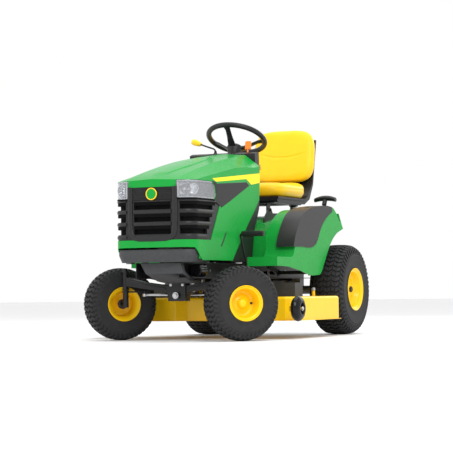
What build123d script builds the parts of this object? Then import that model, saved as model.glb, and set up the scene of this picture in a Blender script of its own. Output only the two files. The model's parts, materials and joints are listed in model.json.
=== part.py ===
from build123d import *
from math import cos, hypot, pi, radians, sin
import os

os.makedirs("parts", exist_ok=True)

# A front-engine riding lawn mower with a two-blade side-discharge deck.
# Axes: +Z up from the ground, -Y towards the front, +X towards the driver's left.
# The model is drawn about the machine's centre plane, and ORIGIN_X moves every piece
# so that the origin is the middle of the whole machine's footprint.

# ---------------------------------------------------------------- driving dimensions (mm)
FRONT_Y = -597.0              # front axle
REAR_Y = 643.0                # rear axle
FRONT_TYRE_R = 190.5          # 15 x 6-6 tyre
FRONT_TYRE_W = 146.0
REAR_TYRE_R = 254.0           # 20 x 8-8 tyre
REAR_TYRE_W = 203.0
REAR_TRACK = 813.0            # between the middles of the rear tyres
KINGPIN_X = 312.0             # kingpin from the centre plane
KINGPIN_R = 9.5
WHEEL_OFFSET = 92.0           # front wheel's middle plane from its kingpin
STEER_REST = -43.0            # front wheels' angle at rest, about +Z, towards the driver's right
STEER_ARM = 105.0             # steering arm, kingpin to tie rod
ARM_Z = 254.0                 # middle of the steering arms
TIE_ROD_Z = 236.0
PIVOT_Z = 233.0               # front axle's pivot bolt
RUN_GAP = 0.05                # radial clearance of a shaft in its bore
PART_GAP = 0.5                # axial clearance beside the kingpin bosses

RAIL_WEB_X = 118.0            # inner face of each frame rail
RAIL_FLANGE = 60.0
RAIL_T = 4.0
RAIL_LOW_Z = 320.0
RAIL_TOP_Z = 400.0
RAIL_FRONT_Y = -842.0
RAIL_REAR_Y = 800.0

DECK_X = 545.0                # half width of the mower deck
DECK_FRONT_Y = -338.0
DECK_REAR_Y = 280.0
DECK_LOW_Z = 95.0
DECK_TOP_Z = 220.0
DECK_T = 3.0
BLADE_X = 267.0               # blade spindle from the centre plane
BLADE_Y = -47.0
BLADE_R = 264.0
CHUTE_TIP_X = -726.0
GAUGE_X = 590.0
GAUGE_Y = -416.0
GAUGE_Z = 159.0
GAUGE_R = 66.0
GAUGE_W = 52.0

ENGINE_Y = -500.0             # crankshaft
ENGINE_PULLEY_R = 45.0
BELT_Z = 263.0                # mower belt's middle plane
SECTOR_Y = -250.6             # steering sector's pivot
SECTOR_Z = 330.0              # middle of the sector plate
PINION_TEETH = 16
MODULE = 2.0
COLUMN_TILT = 25.0            # steering column, back from the vertical
WHEEL_HUB = (0.0, 106.1, 1014.6)
STEERING_RIM_R = 158.0
RIM_TUBE_R = 13.0

LIFT_Y = 230.0                # lift shaft
LIFT_Z = 350.0
LIFT_ARM = 129.0
LIFT_ANGLE = 33.3             # lever travel
LIFT_X = 205.0

FENDER_X = 430.0              # half width across the fenders
TUNNEL_X = 259.0              # half width of the seat box between the footwells
SHELL_T = 4.0
HOOD_X = 226.0                # half width of the hood
HOOD_FRONT_Y = -897.0
HOOD_REAR_Y = -55.0
HOOD_HINGE_Y = -790.0
HOOD_HINGE_Z = 430.0
DASH_X = 196.0                # half width of the dash, next to the hood
DASH_REAR_X = 142.0           # and at its rear edge
PEDAL_AXLE = (-250.0, 352.0)  # Y and Z of the shafts that the pedals turn on
PEDAL_AXLE_R = 8.0

ORIGIN_X = -(GAUGE_X + GAUGE_W / 2 + CHUTE_TIP_X) / 2


# ---------------------------------------------------------------- helpers
def save(part, name):
    """Label a finished sub-part, move it to the row's origin and write it."""
    placed = part.moved(Location((ORIGIN_X, 0, 0)))
    placed.label = name
    export_step(placed, f"parts/{name}.step")


def block(x, y, z, mode=Mode.ADD):
    """Box between two corners, each span given as (low, high)."""
    middle = ((x[0] + x[1]) / 2, (y[0] + y[1]) / 2, (z[0] + z[1]) / 2)
    with Locations(middle):
        return Box(x[1] - x[0], y[1] - y[0], z[1] - z[0], mode=mode)


def side_prism(outline, x_low, x_high, corner=0.0, mode=Mode.ADD):
    """Extrude an outline of (Y, Z) points from x_low to x_high."""
    with BuildSketch(Plane.YZ.offset(x_low)) as section:
        with BuildLine():
            Polyline(*outline, close=True)
        make_face()
        if corner:
            fillet(section.vertices(), radius=corner)
    return extrude(section.sketch, amount=x_high - x_low, mode=mode)


def front_prism(outline, y_low, y_high, corner=0.0, mode=Mode.ADD):
    """Extrude an outline of (X, Z) points from y_high towards y_low."""
    with BuildSketch(Plane.XZ.offset(-y_high)) as section:
        with BuildLine():
            Polyline(*outline, close=True)
        make_face()
        if corner:
            fillet(section.vertices(), radius=corner)
    return extrude(section.sketch, amount=y_high - y_low, mode=mode)


def flat_prism(outline, z_low, z_high, corner=0.0, mode=Mode.ADD):
    """Extrude an outline of (X, Y) points from z_low to z_high."""
    with BuildSketch(Plane.XY.offset(z_low)) as section:
        with BuildLine():
            Polyline(*outline, close=True)
        make_face()
        if corner:
            fillet(section.vertices(), radius=corner)
    return extrude(section.sketch, amount=z_high - z_low, mode=mode)


def rod(start, end, radius, bore=0.0, mode=Mode.ADD):
    """Round bar or tube between two points."""
    span = Vector(*end) - Vector(*start)
    with BuildSketch(Plane(origin=start, z_dir=span)) as section:
        Circle(radius)
        if bore:
            Circle(bore, mode=Mode.SUBTRACT)
    return extrude(section.sketch, amount=span.length, mode=mode)


def bent_bar(points, radius, bend, mode=Mode.ADD):
    """Round bar along straight runs joined by arcs of one bend radius."""
    with BuildLine() as path:
        FilletPolyline(*points, radius=bend)
    with BuildSketch(Plane(origin=path.line @ 0, z_dir=path.line % 0)) as section:
        Circle(radius)
    return sweep(section.sketch, path=path.line, mode=mode)


def turned(profile, base, direction, mode=Mode.ADD):
    """Revolve an outline of (radius, height) points about the axis through base."""
    axle = Vector(*direction).normalized()
    helper = Vector(0, 0, 1) if abs(axle.Z) < 0.9 else Vector(1, 0, 0)
    radial = helper.cross(axle).normalized()
    with BuildSketch(Plane(origin=base, x_dir=radial, z_dir=radial.cross(axle))) as section:
        with BuildLine():
            Polyline(*profile, close=True)
        make_face()
    return revolve(section.sketch, axis=Axis(base, axle), mode=mode)


def steered(x, y, side):
    """A point of a front wheel's own (outward, rearward) frame, turned by the rest steering angle."""
    turn = radians(STEER_REST)
    return (side * KINGPIN_X + side * x * cos(turn) - y * sin(turn),
            FRONT_Y + side * x * sin(turn) + y * cos(turn))


def outward(side):
    """Unit direction of a front wheel's axle, away from its kingpin, at rest."""
    turn = radians(STEER_REST)
    return (side * cos(turn), side * sin(turn), 0.0)


# ---------------------------------------------------------------- frame
AXLE_HALF = 20.0              # front axle beam, half its thickness fore and aft
BRACKET_T = 5.0

with BuildPart() as frame:
    for side in (-1, 1):
        web = sorted((side * RAIL_WEB_X, side * (RAIL_WEB_X + RAIL_T)))
        flange = sorted((side * RAIL_WEB_X, side * (RAIL_WEB_X + RAIL_FLANGE)))
        block(web, (RAIL_FRONT_Y, RAIL_REAR_Y), (RAIL_LOW_Z, RAIL_TOP_Z))
        block(flange, (RAIL_FRONT_Y, RAIL_REAR_Y), (RAIL_LOW_Z, RAIL_LOW_Z + RAIL_T))
        block(flange, (RAIL_FRONT_Y, RAIL_REAR_Y), (RAIL_TOP_Z - RAIL_T, RAIL_TOP_Z))
        rod((side * (RAIL_WEB_X - 2), LIFT_Y, LIFT_Z), (side * (RAIL_WEB_X + RAIL_T + 2), LIFT_Y, LIFT_Z),
            10 + RUN_GAP, mode=Mode.SUBTRACT)
    # engine plate, dash plate and rear plate between the rails
    block((-RAIL_WEB_X, RAIL_WEB_X), (-700, -330), (RAIL_TOP_Z - RAIL_T, RAIL_TOP_Z))
    rod((0, ENGINE_Y, 380), (0, ENGINE_Y, 410), 34, mode=Mode.SUBTRACT)
    block((-RAIL_WEB_X, RAIL_WEB_X), (RAIL_REAR_Y - 5, RAIL_REAR_Y), (RAIL_LOW_Z, RAIL_TOP_Z))
    block((-RAIL_WEB_X, RAIL_WEB_X), (560, 740), (RAIL_TOP_Z - RAIL_T, RAIL_TOP_Z))
    block((-RAIL_WEB_X, RAIL_WEB_X), (-712, -707), (RAIL_LOW_Z, RAIL_TOP_Z))
    # front axle hanger: two plates that carry the pivot bolt
    for y in (FRONT_Y - AXLE_HALF - 3 - BRACKET_T, FRONT_Y + AXLE_HALF + 3):
        front_prism([(-50, 204), (50, 204), (50, 298), (RAIL_WEB_X + 40, RAIL_LOW_Z + 1),
                     (-RAIL_WEB_X - 40, RAIL_LOW_Z + 1), (-50, 298)], y, y + BRACKET_T)
    rod((0, FRONT_Y - 42, PIVOT_Z), (0, FRONT_Y + 42, PIVOT_Z), 9.5)
    # bearing for the pinion and the steering column's foot
    rod((0, SECTOR_Y + 72, 352), (0, SECTOR_Y + 72, 378), 16, 8 + RUN_GAP)
    block((-RAIL_WEB_X, -15), (SECTOR_Y + 66, SECTOR_Y + 78), (356, 374))
    block((15, RAIL_WEB_X), (SECTOR_Y + 66, SECTOR_Y + 78), (356, 374))
    # sector pivot bearing
    rod((0, SECTOR_Y, 344), (0, SECTOR_Y, 378), 18, 8 + RUN_GAP)
    block((-RAIL_WEB_X, -16), (SECTOR_Y - 8, SECTOR_Y + 8), (350, 374))
    block((16, RAIL_WEB_X), (SECTOR_Y - 8, SECTOR_Y + 8), (350, 374))
    # pedal shafts, one out of each rail
    rod((RAIL_WEB_X + 1, *PEDAL_AXLE), (252, *PEDAL_AXLE), PEDAL_AXLE_R)
    rod((-RAIL_WEB_X - 1, *PEDAL_AXLE), (-262, *PEDAL_AXLE), PEDAL_AXLE_R)
save(frame.part, "frame")

with BuildPart() as skid_plate:
    # sloping guard plate behind the bumper, from the rails down to the axle
    side_prism([(RAIL_FRONT_Y - 5, 396), (RAIL_FRONT_Y - 1, 396), (RAIL_FRONT_Y - 1, 344),
                (-764, 309), (-664, 296), (-664, 292), (-766, 304), (RAIL_FRONT_Y - 5, 341)], -105, 105)
save(skid_plate.part, "skid_plate")

BUMPER_X = 214.0              # clear of the hood's hinge lugs
BUMPER_SECTIONS = [(402, 20), (438, 6), (452, 6), (466, 10)]


def hood_plan(inset):
    """Plan of the hood: slightly bowed front and well rounded corners, made smaller by the inset."""
    x = HOOD_X - inset
    front = HOOD_FRONT_Y + inset
    with BuildSketch() as plan:
        with BuildLine():
            ThreePointArc((-x, front + 14), (0, front), (x, front + 14))
            Polyline((x, front + 14), (x, -45), (-x, -45), (-x, front + 14))
        make_face()
        fillet(plan.vertices().group_by(Axis.Y)[0], radius=68 - inset)
    return plan.sketch


with BuildPart() as front_bumper:
    # moulded bumper under the hood's nose with a deep lower lip, hollow behind
    for (z_low, inset_low), (z_high, inset_high) in zip(BUMPER_SECTIONS, BUMPER_SECTIONS[1:]):
        loft([hood_plan(inset_low).moved(Location((0, 0, z_low))),
              hood_plan(inset_high).moved(Location((0, 0, z_high)))])
    block((-BUMPER_X, BUMPER_X), (-900, -740), (400, 470), mode=Mode.INTERSECT)
    block((-182, 182), (-850, -700), (390, 454), mode=Mode.SUBTRACT)
    # pins that the hood hangs on
    for side in (-1, 1):
        rod((side * 184, HOOD_HINGE_Y, HOOD_HINGE_Z), (side * 221, HOOD_HINGE_Y, HOOD_HINGE_Z), 6)
save(front_bumper.part, "front_bumper")

with BuildPart() as hitch_plate:
    # drawbar plate with a 13 mm hitch pin hole
    block((-90, 90), (RAIL_REAR_Y - 60, RAIL_REAR_Y + 60), (RAIL_LOW_Z - 8, RAIL_LOW_Z - 0.2))
    with Locations((0, RAIL_REAR_Y + 36, RAIL_LOW_Z)):
        Hole(6.5)
    fillet(hitch_plate.edges().filter_by(Axis.Z).group_by(Axis.Y)[-1], radius=25)
save(hitch_plate.part, "hitch_plate")


# ---------------------------------------------------------------- front axle and steering
BOSS_LOW_Z = 262.0
BOSS_TOP_Z = 364.0

with BuildPart() as front_axle:
    # arched beam that rocks on the pivot bolt, with a kingpin boss at each end
    arch = [(-300, 284), (-200, 262), (-60, 208), (60, 208), (200, 262), (300, 284),
            (300, 330), (190, 300), (60, 258), (-60, 258), (-190, 300), (-300, 330)]
    front_prism(arch, FRONT_Y - AXLE_HALF, FRONT_Y + AXLE_HALF)
    for side in (-1, 1):
        rod((side * KINGPIN_X, FRONT_Y, BOSS_LOW_Z), (side * KINGPIN_X, FRONT_Y, BOSS_TOP_Z), 15)
        rod((side * KINGPIN_X, FRONT_Y, BOSS_LOW_Z - 1), (side * KINGPIN_X, FRONT_Y, BOSS_TOP_Z + 1),
            KINGPIN_R + RUN_GAP, mode=Mode.SUBTRACT)
    rod((0, FRONT_Y - 40, PIVOT_Z), (0, FRONT_Y + 40, PIVOT_Z), 9.5 + RUN_GAP, mode=Mode.SUBTRACT)
save(front_axle.part, "front_axle")


def upright(side, z_low, z_high, radius, mode=Mode.ADD):
    """Upright cylinder on one kingpin's axis."""
    rod((side * KINGPIN_X, FRONT_Y, z_low), (side * KINGPIN_X, FRONT_Y, z_high), radius, mode=mode)


def spindle(side):
    """Kingpin, steering arm and stub axle in one forging."""
    wheel_x, wheel_y = steered(WHEEL_OFFSET + 20, 0, side)
    arm_x, arm_y = steered(0, STEER_ARM, side)
    with BuildPart() as forging:
        upright(side, 178, BOSS_TOP_Z + 12, KINGPIN_R)
        upright(side, 172, BOSS_LOW_Z - PART_GAP, 15)
        upright(side, BOSS_TOP_Z + PART_GAP, BOSS_TOP_Z + 4, 17)
        upright(side, ARM_Z - 4, ARM_Z + 4, 19)
        rod((side * KINGPIN_X, FRONT_Y, FRONT_TYRE_R), (wheel_x, wheel_y, FRONT_TYRE_R), 9.5)
        rod((arm_x, arm_y, ARM_Z - 4), (arm_x, arm_y, ARM_Z + 4), 12)
        with Locations(Location(((side * KINGPIN_X + arm_x) / 2, (FRONT_Y + arm_y) / 2, ARM_Z),
                                (0, 0, 90 + STEER_REST))):
            Box(STEER_ARM, 20, 8)
        rod((arm_x, arm_y, ARM_Z - 26), (arm_x, arm_y, ARM_Z), 6)
        if side > 0:
            rod((arm_x, arm_y, ARM_Z), (arm_x, arm_y, ARM_Z + 32), 6)
    return forging.part


save(spindle(1), "spindle_left")
save(spindle(-1), "spindle_right")

LINK_HOLE_R = 9.0             # rings of the steering links, round a 6 mm ball stud
LINK_RING_R = 12.5
LINK_LOOSE = 4.5              # more room at the sector, where the rocking axle moves the ring
with BuildPart() as tie_rod:
    ends = [steered(0, STEER_ARM, side) for side in (-1, 1)]
    rod((ends[0][0], ends[0][1], TIE_ROD_Z), (ends[1][0], ends[1][1], TIE_ROD_Z), 6.2)
    for x, y in ends:
        rod((x, y, TIE_ROD_Z - 7), (x, y, TIE_ROD_Z + 7), LINK_RING_R)
    for x, y in ends:
        rod((x, y, TIE_ROD_Z - 9), (x, y, TIE_ROD_Z + 9), LINK_HOLE_R, mode=Mode.SUBTRACT)
save(tie_rod.part, "tie_rod")

turn_rest = radians(STEER_REST)
PITMAN_X = -STEER_ARM * sin(turn_rest)
PITMAN_Y = SECTOR_Y + STEER_ARM * cos(turn_rest)
LINK_Z = 302.0                # drag link at the sector
LINK_ARM_Z = 276.0            # drag link at the left spindle
with BuildPart() as drag_link:
    arm_x, arm_y = steered(0, STEER_ARM, 1)
    near = Vector(PITMAN_X, PITMAN_Y, LINK_Z)
    far = Vector(arm_x, arm_y, LINK_ARM_Z)
    rod(near, far, 6)
    for (x, y, z), extra in ((near, LINK_LOOSE), (far, 0)):
        rod((x, y, z - 7), (x, y, z + 7), LINK_RING_R + extra)
    for (x, y, z), extra in ((near, LINK_LOOSE), (far, 0)):
        rod((x, y, z - 12), (x, y, z + 12), LINK_HOLE_R + extra, mode=Mode.SUBTRACT)
save(drag_link.part, "drag_link")

SECTOR_R = 88.0               # pitch radius of the inward-facing teeth
WINDOW_R = SECTOR_R + 2.0     # far edge of the sector's window
PINION_R = 16.0
TOOTH_IN = 1.5                # tooth height each side of the pitch line
TOOTH_HALF = 0.19             # half a tooth's width at the pitch line, as a share of the tooth pitch


def tooth(pitch_radius, angle, inward):
    """One tooth's corners: wide at the root and narrow at the tip."""
    root = pitch_radius + 2.4 * inward
    tip = pitch_radius - TOOTH_IN * inward
    width_root = 1.5 * TOOTH_HALF * pi * MODULE
    width_tip = 0.5 * TOOTH_HALF * pi * MODULE
    corners = []
    for radius, width in ((root, -width_root), (tip, -width_tip), (tip, width_tip), (root, width_root)):
        turn = angle + width / pitch_radius
        corners.append((radius * cos(turn), radius * sin(turn)))
    return corners


with BuildPart() as steering_sector:
    # fan plate whose arched window has its teeth on the far edge
    middle = radians(90 + STEER_REST)
    with BuildSketch(Plane(origin=(0, SECTOR_Y, SECTOR_Z - 4))):
        Circle(22)
        with BuildLine():
            fan = [(0, 0)] + [(104 * cos(middle + radians(a)), 104 * sin(middle + radians(a)))
                              for a in range(-66, 67, 6)]
            Polyline(*fan, close=True)
        make_face()
        with Locations((STEER_ARM * cos(middle), STEER_ARM * sin(middle))):
            Circle(13)
    extrude(amount=8)
    with BuildSketch(Plane(origin=(0, SECTOR_Y, SECTOR_Z - 6))):
        with BuildLine():
            near_edge = [(50 * cos(middle + radians(a)), 50 * sin(middle + radians(a)))
                         for a in range(-58, 59, 4)]
            far_edge = [(WINDOW_R * cos(middle + radians(a)), WINDOW_R * sin(middle + radians(a)))
                        for a in range(58, -59, -4)]
            Polyline(*near_edge, *far_edge, close=True)
        make_face()
    extrude(amount=12, mode=Mode.SUBTRACT)
    # a tooth gap faces the pinion's tooth at the rest pose
    tooth_pitch = 2 * pi / (SECTOR_R * 2 / MODULE)
    for index in range(-24, 25):
        angle = radians(90) + (index + 0.5) * tooth_pitch
        if abs(angle - middle) < radians(56):
            with BuildSketch(Plane(origin=(0, SECTOR_Y, SECTOR_Z - 4))):
                with BuildLine():
                    Polyline(*tooth(SECTOR_R, angle, 1), close=True)
                make_face()
            extrude(amount=8)
    rod((0, SECTOR_Y, SECTOR_Z), (0, SECTOR_Y, 390), 8)
    rod((PITMAN_X, PITMAN_Y, LINK_Z - 14), (PITMAN_X, PITMAN_Y, SECTOR_Z), 6)
save(steering_sector.part, "steering_sector")

PINION_Y = SECTOR_Y + SECTOR_R - PINION_R
JOINT_Z = 404.0               # middle of the steering column's universal joint
with BuildPart() as steering_pinion:
    with BuildSketch(Plane(origin=(0, PINION_Y, SECTOR_Z - 4))):
        Circle(PINION_R - 2.4)
    extrude(amount=8)
    for index in range(PINION_TEETH):
        with BuildSketch(Plane(origin=(0, PINION_Y, SECTOR_Z - 4))):
            with BuildLine():
                Polyline(*tooth(PINION_R, radians(90) + index * 2 * pi / PINION_TEETH, -1), close=True)
            make_face()
        extrude(amount=8)
    rod((0, PINION_Y, SECTOR_Z), (0, PINION_Y, JOINT_Z - 12), 8)
    rod((0, PINION_Y, JOINT_Z - 22), (0, PINION_Y, JOINT_Z - 8), 15)
save(steering_pinion.part, "steering_pinion")

COLUMN = Vector(0, sin(radians(COLUMN_TILT)), cos(radians(COLUMN_TILT)))
HUB = Vector(*WHEEL_HUB)
FOOT = HUB - COLUMN * ((WHEEL_HUB[2] - JOINT_Z - 12) / COLUMN.Z)
with BuildPart() as steering_shaft:
    rod(FOOT, HUB - COLUMN * 20, 9)
    rod(FOOT, FOOT + COLUMN * 22, 14)
save(steering_shaft.part, "steering_shaft")

RIM_RISE = 92.0               # rim plane above the hub's base
with BuildPart() as steering_wheel:
    rim_centre = HUB + COLUMN * RIM_RISE
    rim_start = rim_centre + Vector(STEERING_RIM_R, 0, 0)
    with BuildSketch(Plane(origin=rim_start, z_dir=Vector(0, -COLUMN.Z, COLUMN.Y))):
        Circle(RIM_TUBE_R)
    revolve(axis=Axis(rim_centre, COLUMN))
    turned([(9.2, -20), (30, -20), (36, 0), (40, 34), (26, 44), (9.2, 46)], WHEEL_HUB, COLUMN)
    across = Vector(1, 0, 0)
    back = COLUMN.cross(across)
    for spoke_angle in (15, 165, 270):
        reach = across * cos(radians(spoke_angle)) + back * sin(radians(spoke_angle))
        bent_bar([HUB + COLUMN * 20 + reach * 24,
                  HUB + COLUMN * 30 + reach * 60,
                  HUB + COLUMN * (RIM_RISE - 4) + reach * (STEERING_RIM_R - 30),
                  HUB + COLUMN * RIM_RISE + reach * STEERING_RIM_R], 9, 18)
save(steering_wheel.part, "steering_wheel")


# ---------------------------------------------------------------- wheels
def tyre_profile(radius, width, bead):
    """Half-hollow tyre section as (radius, offset) points, bead to bead."""
    half = width / 2
    side = radius - bead
    outside = [(bead, -0.82 * half), (bead + 0.12 * side, -0.93 * half), (bead + 0.42 * side, -half),
               (bead + 0.72 * side, -0.98 * half), (bead + 0.88 * side, -0.88 * half),
               (bead + 0.97 * side, -0.66 * half), (radius, -0.36 * half)]
    inside = [(bead, -0.66 * half), (bead + 0.12 * side, -0.80 * half), (bead + 0.42 * side, -0.88 * half),
              (bead + 0.70 * side, -0.84 * half), (bead + 0.84 * side, -0.6 * half)]
    ring = outside + [(r, -x) for r, x in reversed(outside)]
    return ring + inside_return(inside)


def inside_return(inside):
    """The air space's outline, walked back from the far bead."""
    far = [(r, -x) for r, x in inside]
    return far + list(reversed(inside))


def rim_profile(bead, half, disc, hub_r, hub_in, hub_out, bore):
    """Rim barrel, flanges, dished disc and hub in one outline."""
    t = 3.0
    flange = 1.19 * bead
    lip = half + 0.65 * (flange - bead)
    return [(bore, -hub_in), (hub_r, -hub_in), (hub_r, disc - t), (0.45 * bead, disc - t),
            (0.62 * bead, disc - 12 - t), (bead - 9, disc - 12 - t), (bead - 5, -half), (flange, -lip - t),
            (flange, -lip), (bead - 0.2, -half - 0.3), (bead - 0.2, half + 0.3), (flange, lip),
            (flange, lip + t), (bead - 4, half), (bead - 9, disc - 12), (0.62 * bead + 2, disc - 12),
            (0.45 * bead + 2, disc), (hub_r, disc + 2), (hub_r, hub_out), (bore, hub_out)]


def front_rim(side):
    """Pressed steel rim with a bushed hub."""
    x, y = steered(WHEEL_OFFSET, 0, side)
    with BuildPart() as rim:
        turned(rim_profile(76, 60, 6, 19, 36, 24, 9.5 + RUN_GAP), (x, y, FRONT_TYRE_R), outward(side))
    return rim.part


def front_tyre(side):
    """Tyre of a front wheel."""
    x, y = steered(WHEEL_OFFSET, 0, side)
    with BuildPart() as tyre:
        turned(tyre_profile(FRONT_TYRE_R, FRONT_TYRE_W, 76), (x, y, FRONT_TYRE_R), outward(side))
    return tyre.part


def rear_rim(side):
    """Rear rim with its axle shaft and end cap as a second solid."""
    centre = (side * REAR_TRACK / 2, REAR_Y, REAR_TYRE_R)
    axle = (side, 0, 0)
    with BuildPart() as rim:
        turned(rim_profile(101, 83.3, 54, 24, 50, 62, 9.5), centre, axle)
        turned([(0, -290), (9.5, -290), (9.5, 62), (19, 62), (19, 72), (14, 76), (0, 76)], centre, axle)
    return rim.part


def rear_tyre(side):
    """Tyre of a rear wheel."""
    with BuildPart() as tyre:
        turned(tyre_profile(REAR_TYRE_R, REAR_TYRE_W, 101), (side * REAR_TRACK / 2, REAR_Y, REAR_TYRE_R),
               (side, 0, 0))
    return tyre.part


for side, name in ((1, "left"), (-1, "right")):
    save(front_rim(side), f"front_rim_{name}")
    save(front_tyre(side), f"front_tyre_{name}")
    save(rear_rim(side), f"rear_rim_{name}")
    save(rear_tyre(side), f"rear_tyre_{name}")


# ---------------------------------------------------------------- mower deck
PULLEY_R = 60.0
MANDREL_R = 11.0
CHUTE_HINGE_X = -556.0
CHUTE_HINGE_Z = 226.0
EAR_Y = LIFT_Y - LIFT_ARM * cos(radians(LIFT_ANGLE / 2))
ARM_END_Z = LIFT_Z + LIFT_ARM * sin(radians(LIFT_ANGLE / 2))
EAR_Z = 262.0


def deck_outline(inset):
    """Plan of the deck: two blade chambers side by side, with a shallow valley between them."""
    x = DECK_X - inset
    front = DECK_FRONT_Y + inset
    rear = DECK_REAR_Y - inset
    return [(-x, front + 70), (-x + 70, front), (-150, front), (-100, front + 46), (100, front + 46),
            (150, front), (x - 60, front), (x, front + 60), (x, rear - 10), (x - 10, rear),
            (-x + 150, rear), (-x, rear - 150)]


with BuildPart() as mower_deck:
    # stamped shell, open below, with a rolled lip and a discharge opening on the right
    flat_prism(deck_outline(0), DECK_LOW_Z, DECK_TOP_Z)
    fillet(mower_deck.edges().filter_by(Axis.Z), radius=9)
    fillet(mower_deck.faces().sort_by(Axis.Z)[-1].edges(), radius=14)
    with BuildSketch(Plane.XY.offset(DECK_LOW_Z)):
        with BuildLine():
            Polyline(*deck_outline(-10), close=True)
        make_face()
    extrude(amount=DECK_T)
    with BuildSketch(Plane.XY.offset(DECK_LOW_Z - 1)):
        with BuildLine():
            Polyline(*deck_outline(DECK_T), close=True)
        make_face()
    extrude(amount=DECK_TOP_Z - DECK_LOW_Z + 1 - 12, mode=Mode.SUBTRACT)
    with BuildSketch(Plane.XY.offset(DECK_LOW_Z - 1)):
        with BuildLine():
            Polyline(*deck_outline(14), close=True)
        make_face()
    extrude(amount=DECK_TOP_Z - DECK_LOW_Z + 1 - DECK_T, mode=Mode.SUBTRACT)
    block((-DECK_X - 20, -DECK_X + 30), (-250, 60), (DECK_LOW_Z - 5, 196), mode=Mode.SUBTRACT)
    with Locations((BLADE_X, BLADE_Y, DECK_TOP_Z), (-BLADE_X, BLADE_Y, DECK_TOP_Z)):
        Hole(32)
    # ears for the lift links, and the gauge wheels' brackets at the front corners
    for side in (-1, 1):
        ear_x = side * (LIFT_X + 8)
        block((ear_x - 2, ear_x + 2), (EAR_Y - 16, EAR_Y + 16), (DECK_TOP_Z - 2, EAR_Z + 14))
        pin_x = sorted((side * (LIFT_X - 6), side * (LIFT_X + 10)))
        rod((pin_x[0], EAR_Y, EAR_Z), (pin_x[1], EAR_Y, EAR_Z), 6)
    side_prism([(GAUGE_Y - 12, GAUGE_Z - 14), (GAUGE_Y + 14, GAUGE_Z - 14), (DECK_FRONT_Y + 110, 150),
                (DECK_FRONT_Y + 110, 190), (GAUGE_Y - 12, GAUGE_Z + 14)], DECK_X - 1, DECK_X + 4)
    rod((DECK_X, GAUGE_Y, GAUGE_Z), (GAUGE_X + GAUGE_W / 2 - 2, GAUGE_Y, GAUGE_Z), 7)
    side_prism([(-312, 128), (-262, 140), (-262, 178), (-312, 178)], -DECK_X - 4, -DECK_X + 1)
    # hinge knuckles of the discharge chute
    for y in (-240, 40):
        block((CHUTE_HINGE_X - 8, -DECK_X + 40), (y - 10, y + 10), (DECK_TOP_Z - 4, CHUTE_HINGE_Z - 4))
        rod((CHUTE_HINGE_X, y - 10, CHUTE_HINGE_Z), (CHUTE_HINGE_X, y + 10, CHUTE_HINGE_Z), 8)
    rod((CHUTE_HINGE_X, -250, CHUTE_HINGE_Z), (CHUTE_HINGE_X, 50, CHUTE_HINGE_Z), 4)
    # wash-out port on the left of the top
    rod((400, 262, DECK_TOP_Z - 2), (400, 262, 248), 9)
save(mower_deck.part, "mower_deck")

with BuildPart() as mandrel_housings:
    for side in (-1, 1):
        turned([(MANDREL_R + RUN_GAP, 176), (30, 176), (31, DECK_TOP_Z), (62, DECK_TOP_Z),
                (60, DECK_TOP_Z + 7), (34, DECK_TOP_Z + 9), (26, 238), (MANDREL_R + RUN_GAP, 238)],
               (side * BLADE_X, BLADE_Y, 0), (0, 0, 1))
save(mandrel_housings.part, "mandrel_housings")


def blade_spindle(side):
    """Blade spindle with its V pulley, and below it the flat blade with its bolt as a second solid."""
    with BuildPart() as spinner:
        turned([(0, 140), (MANDREL_R, 140), (MANDREL_R, 240), (30, 240), (30, BELT_Z - 9),
                (PULLEY_R, BELT_Z - 9), (PULLEY_R - 9, BELT_Z - 2), (PULLEY_R - 9, BELT_Z + 2),
                (PULLEY_R, BELT_Z + 9),
                (MANDREL_R, BELT_Z + 9), (MANDREL_R, BELT_Z + 20), (0, BELT_Z + 20)],
               (side * BLADE_X, BLADE_Y, 0), (0, 0, 1))
        # both blades lie across the deck, set a little apart so that they clear each other
        with BuildSketch(Plane(origin=(side * BLADE_X, BLADE_Y, 132), x_dir=(cos(0.7), sin(0.7), 0))):
            Rectangle(2 * BLADE_R - 4, 60)
            Circle(12, mode=Mode.SUBTRACT)
        extrude(amount=5)
        for end in (-1, 1):
            with BuildSketch(Plane(origin=(side * BLADE_X, BLADE_Y, 136), x_dir=(cos(0.7), sin(0.7), 0))):
                with Locations((end * (BLADE_R - 62), -end * 26)):
                    Rectangle(110, 8)
            extrude(amount=16)
        rod((side * BLADE_X, BLADE_Y, 118), (side * BLADE_X, BLADE_Y, 139), 12)
        rod((side * BLADE_X, BLADE_Y, 118), (side * BLADE_X, BLADE_Y, 131), 24)
    return spinner.part


for side, name in ((1, "left"), (-1, "right")):
    save(blade_spindle(side), f"blade_spindle_{name}")

with BuildPart() as belt_covers:
    # moulded guards over the blade pulleys, open underneath and towards the belt
    for side in (-1, 1):
        rod((side * BLADE_X, BLADE_Y, DECK_TOP_Z), (side * BLADE_X, BLADE_Y, 300), 82)
        block(sorted((side * (BLADE_X + 20), side * (BLADE_X + 176))), (BLADE_Y - 56, BLADE_Y + 50),
              (DECK_TOP_Z, 294))
    for side in (-1, 1):
        rod((side * BLADE_X, BLADE_Y, DECK_TOP_Z - 1), (side * BLADE_X, BLADE_Y, 296), 78,
            mode=Mode.SUBTRACT)
        block(sorted((side * (BLADE_X + 10), side * (BLADE_X + 172))), (BLADE_Y - 52, BLADE_Y + 46),
              (DECK_TOP_Z - 1, 290), mode=Mode.SUBTRACT)
        block(sorted((side * (BLADE_X - 90), side * (BLADE_X + 55))), (BLADE_Y - 90, BLADE_Y + 78),
              (DECK_TOP_Z - 1, 282), mode=Mode.SUBTRACT)
save(belt_covers.part, "belt_covers")


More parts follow.
